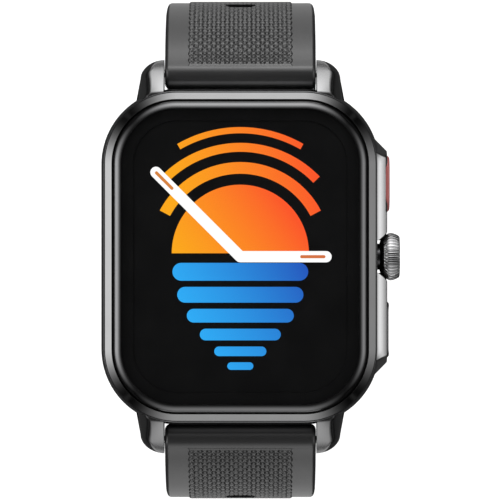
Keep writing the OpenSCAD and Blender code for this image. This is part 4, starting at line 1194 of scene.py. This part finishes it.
def lattice_height(x, s):
    """Height of the panel's moulded lattice: a ring groove at each knot."""
    best = np.full(np.broadcast(x, s).shape, 9.0)
    for half in (0.0, 0.5):
        dx = (x / PITCH_X + half + 0.5) % 1.0 - 0.5
        ds = (s / PITCH_S + half + 0.5) % 1.0 - 0.5
        best = np.minimum(best, np.hypot(dx * PITCH_X, ds * PITCH_S))
    return -KNOT_DEPTH * np.exp(-(((best - KNOT_R) / KNOT_WIDTH) ** 2))


def make_panel(half):
    """The raised centre panel with its lattice, sunk a little into the strap."""
    s0, s1 = PANEL_START, half.panel_end
    columns = int(PANEL_WIDTH / TEXTURE_STEP) | 1
    rows = int((s1 - s0) / TEXTURE_STEP)
    across = np.linspace(-1, 1, columns)
    top_points, low_points = [], []
    for s in np.linspace(s0, s1, rows):
        y, z, ny, nz = facing(half, s)
        wide = PANEL_WIDTH / 2 + PANEL_WAVE * math.cos(2 * math.pi * s / PITCH_S)
        x = across * wide
        rise = lattice_height(x, np.full_like(x, s))
        fade = min(1.0, max(0.0, (s - TEXTURE_START) / 0.35)) * min(1.0, (s1 - s) / 0.3)
        edge = np.clip((wide - np.abs(x)) / PANEL_SOFT, 0, 1)
        ends = min(1.0, 0.15 + (s - s0) / 0.6), min(1.0, 0.15 + (s1 - s) / 0.6)
        soft = PANEL_RISE * (1 - (1 - edge) ** 2 * 0.8) * ends[0] * ends[1]
        base = half_thickness(half, s)
        top = base + soft + rise * fade * np.clip((wide - np.abs(x)) / 0.3, 0, 1)
        top_points += [(xi, half.mirror * (y + ny * h), z + nz * h) for xi, h in zip(x, top)]
        h = base - PANEL_SUNK
        low_points += [(side * wide, half.mirror * (y + ny * h), z + nz * h) for side in (-1, 1)]
    bottom = len(top_points)
    faces = []
    for i in range(rows - 1):
        a, b = i * columns, (i + 1) * columns
        faces += [(a + k, a + k + 1, b + k + 1, b + k) for k in range(columns - 1)]
        lo, hi = bottom + 2 * i, bottom + 2 * (i + 1)
        far_side = (b + columns - 1, a + columns - 1, lo + 1, hi + 1)
        faces += [(a, b, hi, lo), far_side, (lo, hi, hi + 1, lo + 1)]
    last = (rows - 1) * columns
    faces.append(tuple(range(columns - 1, -1, -1)) + (bottom, bottom + 1))
    faces.append(tuple(range(last, last + columns)) + (bottom + 2 * rows - 1, bottom + 2 * rows - 2))
    panel = add_piece(f"strap_{half.side}_panel", top_points + low_points, faces, f"{half.side}_strap",
                      "strap_silicone", [f"strap_{half.side}"])
    cut(panel, [hole_cutter(half, s) for s in half.holes])


TONGUE_SLOT = 2.64
BAR_HOLE_R, BUCKLE_HOLE_R, BAR_REACH = 0.92, 0.72, 12


def make_straps():
    """Both strap halves with their panels, the bar holes and the slot for the tongue."""
    place = on_strap(UPPER, UPPER_LENGTH)
    wide = TONGUE_SLOT / 2
    slot_rows = [
        [place(x, v, n) for x, v in ((-wide, -6.2), (wide, -6.2), (wide, 4), (-wide, 4))] for n in (-4, 4)
    ]
    slot = loose("tongue_slot", *loft(slot_rows))
    buckle_hole = loose("bar_hole", *rod_x(BUCKLE_HOLE_R, -BAR_REACH, BAR_REACH, BUCKLE_BAR.y, BUCKLE_BAR.z))
    bars = [
        loose("bar_hole", *rod_x(BAR_HOLE_R, -BAR_REACH, BAR_REACH, half.mirror * BAR_Y, BAR_Z))
        for half in (UPPER, LOWER)
    ]
    make_strap_body(UPPER, [slot, buckle_hole, bars[0]])
    make_strap_body(LOWER, [bars[1]])
    make_panel(UPPER)
    make_panel(LOWER)


# ---------------- keepers and buckle
KEEPER_WALL = 1.0
KEEPER_LENGTH = 4.5
KEEPER_INNER = 2 * STRAP_THICKNESS + PANEL_RISE + 0.4
FIXED_KEEPER_S = UPPER_LENGTH - 14
KEEPER_SPACING = 10.0
KEEPER_CORNER = 0.9
FIXED_GAP, FREE_GAP = 0.02, 0.12


def make_keeper(name, s, gap, body):
    """Rounded loop round the strap at a distance s, with a gap below the strap."""
    half_x = STRAP_END_WIDTH / 2 + 0.6
    low = STRAP_THICKNESS / 2 + gap
    centre = KEEPER_INNER / 2 - low
    path = outline(half_x, KEEPER_INNER / 2, KEEPER_CORNER, 8)
    half = KEEPER_LENGTH / 2
    section = rounded([(0, -half), (KEEPER_WALL, -half), (KEEPER_WALL, half), (0, half)], 0.32, 5)
    carry = on_strap(UPPER, s)
    points, faces = ring(path, section, lambda x, n, v: carry(x, v, n + centre))
    add_piece(f"{name}_loop", points, faces, body, "strap_silicone", [name])


BUCKLE_INNER = 20.6
BUCKLE_SIDE = 2.0
BUCKLE_THICKNESS = 2.2
BUCKLE_LENGTH = 11.5
FAR_BAR_R = 1.35
FAR_BAR_EXTRA = 0.45
BUCKLE_CORNER = 2.2
BUCKLE_EYE_R = 1.5
TONGUE_WIDTH = 2.4


def buckle_place():
    """Function that carries (x, along, up) of the buckle into the frame."""
    tilt = math.asin((BUCKLE_BAR.z - FAR_BAR_R) / BUCKLE_LENGTH)
    c, d = math.cos(-tilt), math.sin(-tilt)
    return lambda x, v, n: (x, BUCKLE_BAR.y + v * c - n * d, BUCKLE_BAR.z + v * d + n * c)


def sweep(path, sections):
    """Closed tube: path is (place, sideways, up) and each section gives (sideways, up) offsets."""
    rows = []
    for (place, side, up), section in zip(path, sections):
        rows.append([tuple(Vector(place) + Vector(side) * u + Vector(up) * v) for u, v in section])
    return loft(rows)


def make_buckle():
    """The buckle's loop, thicker at its far bar, and an eye at each end for the buckle bar."""
    carry = buckle_place()
    mid = BUCKLE_INNER / 2 + BUCKLE_SIDE / 2
    corner = BUCKLE_CORNER
    thick = BUCKLE_THICKNESS
    up = (0, 0, 1)
    path, sections = [], []

    def stop(x, y, heading, width, depth):
        path.append(((x, y, 0), (*unit(heading), 0), up))
        half_w, half_t = width / 2, depth / 2
        corners = [(-half_w, -half_t), (half_w, -half_t), (half_w, half_t), (-half_w, half_t)]
        sections.append(rounded(corners, min(0.85, half_t * 0.75), 6))

    for y in np.linspace(0, BUCKLE_LENGTH - corner, 6):
        stop(mid, y, 0, BUCKLE_SIDE, thick)
    for a in np.linspace(0, 90, 13)[1:]:
        c, d = unit(a)
        x, y = mid - corner + corner * c, BUCKLE_LENGTH - corner + corner * d
        share = a / 90
        stop(x, y, a, BUCKLE_SIDE + (2 * FAR_BAR_R - BUCKLE_SIDE) * share, thick + FAR_BAR_EXTRA * share)
    for x in np.linspace(mid - corner, 0, 8)[1:]:
        dip = 0.35 * math.exp(-((x / 1.8) ** 2))
        stop(x, BUCKLE_LENGTH, 90, 2 * FAR_BAR_R - dip, thick + FAR_BAR_EXTRA - dip)
    path += [((-x, y, z), (-sx, sy, sz), u) for (x, y, z), (sx, sy, sz), u in reversed(path[:-1])]
    sections += [[(u, v) for u, v in s] for s in reversed(sections[:-1])]
    points, faces = sweep(path, sections)
    add_piece("buckle_loop", [carry(*p) for p in points], faces, "buckle", "buckle_black", ["buckle_frame"])
    outer_r, soft = BUCKLE_EYE_R, 0.3
    x0, x1 = BUCKLE_INNER / 2, BUCKLE_INNER / 2 + BUCKLE_SIDE
    left = [(x0, outer_r - soft), (x0 + 0.09, outer_r - 0.09), (x0 + soft, outer_r)]
    right = [(x1 - soft, outer_r), (x1 - 0.09, outer_r - 0.09), (x1, outer_r - soft)]
    for name, sign in (("buckle_eye_1", 1), ("buckle_eye_2", -1)):
        rows = [[carry(sign * x, v, n) for v, n in circle(r, 40)] for x, r in left + right]
        add_piece(name, *loft(rows), "buckle", "buckle_black", ["buckle_frame"])


def make_tongue():
    """Tongue: a bar that tapers to a rounded tip, on a round eye."""
    carry = buckle_place()
    rows = []
    rest = 0.8
    stops = (
        (0.2, 2.3, 1.0, 0.95), (1.2, 2.4, 1.0, 1.2), (2.4, 2.4, 1.0, 1.3), (6.0, 2.3, 1.0, 1.3),
        (8.6, 2.2, 0.95, 1.25), (10.2, 2.05, 0.85, 1.2), (11.2, 1.9, 0.75, 1.17), (11.8, 1.5, 0.6, 1.12),
        (12.15, 0.9, 0.36, 1.06), (12.28, 0.3, 0.14, 1.02),
    )
    for v, width, thick, height in stops:
        low = max(rest, height - thick / 2)
        high = low + thick
        half = width / 2
        r = min(0.35, thick * 0.4, half * 0.8)
        section = rounded([(-half, low), (half, low), (half, high), (-half, high)], r, 5)
        rows.append([carry(x, v, n) for x, n in section])
    add_piece("tongue_bar", *loft(rows), "tongue", "buckle_black", ["buckle_tongue"])
    half, outer_r, inner_r, soft = TONGUE_WIDTH / 2, 1.45, 0.76, 0.18
    path = [((0, 0), direction) for direction in circle(1.0, 48)]
    section = rounded([(inner_r, -half), (outer_r, -half), (outer_r, half), (inner_r, half)], soft, 4)
    points, faces = ring(path, section, lambda v, n, x: carry(x, v, n))
    add_piece("tongue_eye", points, faces, "tongue", "buckle_black", ["buckle_tongue"])


# ---------------- light, floor and camera
BOX_DISTANCE = 430.0
BOX_CLIMB = 36.0
BOX_SPAN = 34.0
BOX_SIGMA = 22.0


def stage_object(name, corners, mat):
    """A flat four-cornered object of the stage, with one material."""
    obj = new_object(name, corners, [(0, 1, 2, 3)])
    obj.data.materials.append(mat)
    return obj


def softbox_light(name, low, high, width, height):
    """A glow that changes with the climb and fades to both sides."""
    mat, tree, surface = empty_material(name)
    split = node(tree, "SeparateXYZ")
    tree.links.new(node(tree, "TexCoord").outputs["UV"], split.inputs[0])
    sigma = math.tan(math.radians(BOX_SIGMA)) * BOX_DISTANCE / width
    across = math_node(tree, "DIVIDE", math_node(tree, "SUBTRACT", split.outputs["X"], 0.5), sigma)
    square = math_node(tree, "MULTIPLY", across, across)
    fade = math_node(tree, "POWER", math.e, math_node(tree, "MULTIPLY", square, -1.0))
    peak = max(low, high)
    ramp = node(tree, "ValToRGB")
    stops = ((2, 0.62 * low), (11, low), (20, 0.55 * (low + high)), (28, high),
             (36, 0.92 * high), (48, 0.5 * high), (59, 0.19 * high), (70, 0.02 * high))
    while len(ramp.color_ramp.elements) < len(stops):
        ramp.color_ramp.elements.new(0.5)
    for element, (climb, power) in zip(ramp.color_ramp.elements, stops):
        element.position = 0.5 + math.tan(math.radians(climb - BOX_CLIMB)) * BOX_DISTANCE / height
        element.color = (power / peak,) * 3 + (1,)
    tree.links.new(split.outputs["Y"], ramp.inputs[0])
    emit = node(tree, "Emission")
    power = math_node(tree, "MULTIPLY", math_node(tree, "MULTIPLY", ramp.outputs["Color"], fade), peak)
    tree.links.new(power, emit.inputs["Strength"])
    tree.links.new(emit.outputs[0], surface)
    return mat


def softbox(name, azimuth, low, high):
    """A soft panel that faces the watch. low is its light near the horizon, high its light at 28 degrees."""
    (c, s), (ce, se) = unit(azimuth), unit(BOX_CLIMB)
    direction = Vector((c * ce, s * ce, se))
    side = Vector((-s, c, 0))
    up = side.cross(direction) * -1
    height = 2 * BOX_DISTANCE * math.tan(math.radians(BOX_SPAN))
    width = 2 * BOX_DISTANCE
    centre = Vector((0, 0, SEAT_Z)) + direction * BOX_DISTANCE
    shares = ((-0.5, -0.5), (0.5, -0.5), (0.5, 0.5), (-0.5, 0.5))
    corners = [centre + side * width * u + up * height * v for u, v in shares]
    panel = stage_object(name, corners, softbox_light(name, low, high, width, height))
    layer = panel.data.uv_layers.new(name="UVMap")
    for loop, uv in zip(layer.data, ((0, 0), (1, 0), (1, 1), (0, 1))):
        loop.uv = uv
    panel.visible_camera = False


def bounce_card(name, sign, glow):
    """A glowing card that lies beyond the strap, low down, and shows as gloss on its steep part."""
    (near, near_half), (far, far_half), z = (46.0, 16.0), (1500.0, 430.0), 2.0
    corners = [(-near_half, near), (near_half, near), (far_half, far), (-far_half, far)]
    mat, tree, surface = empty_material(name)
    tree.links.new(node(tree, "Emission", Strength=glow).outputs[0], surface)
    card = stage_object(name, [(x, sign * y, z) for x, y in corners], mat)
    card.visible_camera = False
    card.visible_diffuse = False
    card.visible_shadow = False


def make_lights():
    """A card beyond each strap end, and a soft panel on each side."""
    bounce_card("card_top", 1, 0.72)
    bounce_card("card_bottom", -1, 0.85)
    softbox("softbox_left", 180, 1.82, 2.24)
    softbox("softbox_right", 0, 0.68, 1.35)
    softbox("softbox_top", 90, 1.64, 2.57)
    softbox("softbox_bottom", -90, 0.9, 0.87)


def make_floor():
    """A wide floor just under the table's height: near white to the camera, and dark to other rays."""
    size = 4000.0
    mat, tree, surface = empty_material("floor")
    seen = node(tree, "AddShader")
    tree.links.new(node(tree, "BsdfDiffuse", Color=(0.6, 0.6, 0.6, 1)).outputs[0], seen.inputs[0])
    tree.links.new(node(tree, "Emission", Strength=0.95).outputs[0], seen.inputs[1])
    dark = node(tree, "BsdfDiffuse", Color=(0.12, 0.12, 0.12, 1))
    ray = node(tree, "LightPath").outputs["Is Camera Ray"]
    mix_shaders(tree, ray, dark.outputs[0], seen.outputs[0], surface)
    corners = [(-size, -size, 0), (size, -size, 0), (size, size, 0), (-size, size, 0)]
    floor = stage_object("floor", corners, mat)
    floor.location.z = -0.02 * MM


def make_world():
    """White to the camera, and almost dark to other rays."""
    world = bpy.data.worlds.new("studio")
    bpy.context.scene.world = world
    world.use_nodes = True
    tree = world.node_tree
    tree.nodes.clear()
    seen = node(tree, "Background", Color=(1, 1, 1, 1), Strength=1.0)
    dim = node(tree, "Background", Color=(1, 1, 1, 1), Strength=0.05)
    ray = node(tree, "LightPath").outputs["Is Camera Ray"]
    surface = node(tree, "OutputWorld").inputs["Surface"]
    mix_shaders(tree, ray, dim.outputs[0], seen.outputs[0], surface)


def make_camera():
    """Straight above the dial, a little right of and above the watch's middle."""
    data = bpy.data.cameras.new("camera")
    camera = bpy.data.objects.new("camera", data)
    bpy.context.scene.collection.objects.link(camera)
    distance, view_width, (x, y) = 500.0, 72.85, (1.413, 0.976)
    camera.location = Vector((x, y, SEAT_Z + 1.0 + distance)) * MM
    data.sensor_width = 36.0
    data.lens = data.sensor_width * distance / view_width
    data.clip_start, data.clip_end = 0.01, 10.0
    bpy.context.scene.camera = camera


# ---------------- build
for record_part in frame["record"]["subparts"]:
    shown = frame["nodes"][record_part["node"]]
    shown.data.materials.clear()
    shown.data.materials.append(MATERIALS[record_part["material_slot"]])

make_case_wall()
make_lugs()
make_guard()
make_bezel()
make_glass()
make_dial()
make_crown()
make_button("upper_button", 1, "button_red", 0)
make_button("lower_button", -1, "button_black", LOWER_RIM)
make_straps()
make_keeper("keeper_fixed", FIXED_KEEPER_S, FIXED_GAP, "upper_strap")
make_keeper("keeper_free", FIXED_KEEPER_S - KEEPER_SPACING, FREE_GAP, "free_keeper")
make_buckle()
make_tongue()
make_lights()
make_floor()
make_world()
make_camera()
bpy.context.scene.view_settings.view_transform = "Standard"
